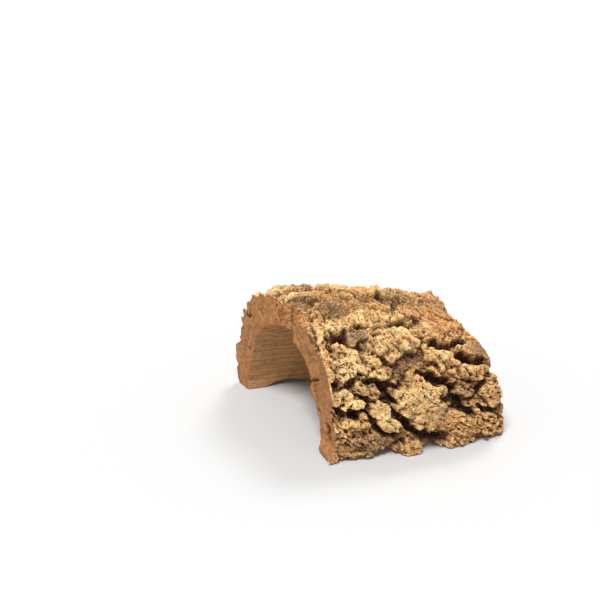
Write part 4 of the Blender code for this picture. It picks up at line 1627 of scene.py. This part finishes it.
@dataclass(frozen=True)
class BrokenFinish(Finish):
    """Broken cork, redder and striped: the right end, the crown's left end and the two lower edges."""

    name: str = "bark_broken"
    base: Colour = srgb(156, 100, 56)
    pale: Colour = srgb(190, 138, 84)
    dark: Colour = srgb(98, 56, 36)
    pore: Colour = srgb(60, 34, 26)

    def material(self) -> bpy.types.Material:
        """Builds the finish."""
        material, nodes = self.blank()
        place = nodes.place_mm()
        through = nodes.attribute("through")
        grain = nodes.group(Effects.cork_grain(), Place=place, Pore_Share=0.34).outputs
        striped = nodes.vector(nodes.times(through, Arch.bark_thickness), nodes.attribute("around"), 0.0)
        lines = nodes.group(Effects.growth_lines(), Place=striped).outputs
        colour = nodes.mix(nodes.between(grain["Mottle"], 0.35, 0.65), self.base, self.pale)
        colour = nodes.tinted(colour, self.dark, lines["Broad"], 0.45, 0.65, 0.7)
        colour = nodes.tinted(colour, self.dark, grain["Speckle"], 0.55, 0.7, 0.4)
        colour = nodes.mix(nodes.times(grain["Pores"], 0.8), colour, self.pore)
        roughness = nodes.math("ADD", 0.8, nodes.times(grain["Speckle"], 0.18))
        height = nodes.math("ADD", grain["Height"], nodes.times(lines["Broad"], 0.8))
        self.dressed(colour, roughness, height, nodes, depth=0.6)
        return material


@dataclass
class Studio:
    """The pale floor, the soft light and the camera."""

    floor_size: float = 12.0
    floor_drop: float = 0.0004
    floor_colour: Colour = (0.54, 0.54, 0.54)
    floor_roughness: float = 0.95
    sky_strength: float = 0.55
    sun_strength: float = 3.3
    sun_spread_deg: float = 20.0
    sun_azimuth_deg: float = -40.0
    sun_elevation_deg: float = 64.0
    fill_strength: float = 1.5
    fill_azimuth_deg: float = 140.0
    fill_elevation_deg: float = 50.0
    lens: float = 70.0
    sensor: float = 36.0
    picture_px: float = 600.0
    clip: tuple[float, float] = (0.05, 50.0)
    view_azimuth_deg: float = -15.0
    view_elevation_deg: float = 22.0
    foot_mm: tuple[float, float, float] = (-68.1, -101.3, 0.0)
    foot_px: tuple[float, float] = (334.0, 462.0)
    foot_distance_mm: float = 1167.0

    @staticmethod
    def towards(azimuth_deg: float, elevation_deg: float) -> Vector:
        """The direction from the object to a place round it. Azimuth 0 is the front, and 90 is the right."""
        a, e = math.radians(azimuth_deg), math.radians(elevation_deg)
        return Vector((math.sin(a) * math.cos(e), -math.cos(a) * math.cos(e), math.sin(e)))

    def build(self) -> None:
        """Makes the floor, the lights and the camera."""
        self.floor()
        self.sky()
        self.sun("key", self.sun_strength, self.sun_azimuth_deg, self.sun_elevation_deg)
        self.sun("fill", self.fill_strength, self.fill_azimuth_deg, self.fill_elevation_deg)
        self.camera()
        bpy.context.scene.view_settings.view_transform = "Standard"

    def floor(self) -> bpy.types.Object:
        """A plain pale floor under the slab."""
        mesh = bpy.data.meshes.new("floor")
        half = self.floor_size / 2
        corners = [(-half, -half), (half, -half), (half, half), (-half, half)]
        mesh.from_pydata([(x, y, -self.floor_drop) for x, y in corners], [], [(0, 1, 2, 3)])
        material = bpy.data.materials.new("floor")
        material.use_nodes = True
        shader = material.node_tree.nodes["Principled BSDF"]
        shader.inputs["Base Color"].default_value = (*self.floor_colour, 1.0)
        shader.inputs["Roughness"].default_value = self.floor_roughness
        shader.inputs["Specular IOR Level"].default_value = 0.0
        mesh.materials.append(material)
        floor = bpy.data.objects.new("floor", mesh)
        bpy.context.scene.collection.objects.link(floor)
        return floor

    def sky(self) -> None:
        """An even white surround, which lights the slab more softly than it shows behind it."""
        world = bpy.data.worlds.new("surround")
        world.use_nodes = True
        bpy.context.scene.world = world
        nodes = Nodes(world.node_tree)
        background = world.node_tree.nodes["Background"]
        background.inputs["Color"].default_value = (1.0, 1.0, 1.0, 1.0)
        seen = nodes.add("ShaderNodeLightPath").outputs["Is Camera Ray"]
        nodes.feed(background.inputs["Strength"], nodes.math(
            "ADD", nodes.times(seen, 1.0 - self.sky_strength), self.sky_strength))

    def sun(self, name: str, strength: float, azimuth_deg: float, elevation_deg: float) -> bpy.types.Object:
        """One broad, soft light from far away."""
        light = bpy.data.lights.new(name, "SUN")
        light.energy = strength
        light.angle = math.radians(self.sun_spread_deg)
        lamp = bpy.data.objects.new(name, light)
        lamp.rotation_mode = "QUATERNION"
        lamp.rotation_quaternion = (-self.towards(azimuth_deg, elevation_deg)).to_track_quat("-Z", "Y")
        bpy.context.scene.collection.objects.link(lamp)
        return lamp

    def camera(self) -> bpy.types.Object:
        """The camera at the photograph's angle, placed so that the front foot falls on its pixel."""
        forward = -self.towards(self.view_azimuth_deg, self.view_elevation_deg)
        right = forward.cross(Vector((0, 0, 1))).normalized()
        up = right.cross(forward)
        focal_px = self.lens / self.sensor * self.picture_px
        across = (self.foot_px[0] - self.picture_px / 2) / focal_px
        down = (self.foot_px[1] - self.picture_px / 2) / focal_px
        data = bpy.data.cameras.new("camera")
        data.lens, data.sensor_width = self.lens, self.sensor
        data.clip_start, data.clip_end = self.clip
        camera = bpy.data.objects.new("camera", data)
        foot = Vector(self.foot_mm)
        place = (foot - self.foot_distance_mm * (forward + across * right - down * up)) * MM
        turn = Matrix((right, up, -forward)).transposed()
        camera.matrix_world = Matrix.Translation(place) @ turn.to_4x4()
        bpy.context.scene.collection.objects.link(camera)
        bpy.context.scene.camera = camera
        return camera


def main() -> None:
    """Builds the slab, then the studio round it."""
    logging.basicConfig(level=logging.INFO, format="%(name)s: %(message)s")
    arch = Arch()
    slab = BarkSlab(arch, BarkRelief(arch)).build()
    log.info("bark slab: %d faces", len(slab.data.polygons))
    Studio().build()
    log.info("studio: floor, two soft lights and the camera")


if __name__ == "__main__":
    main()
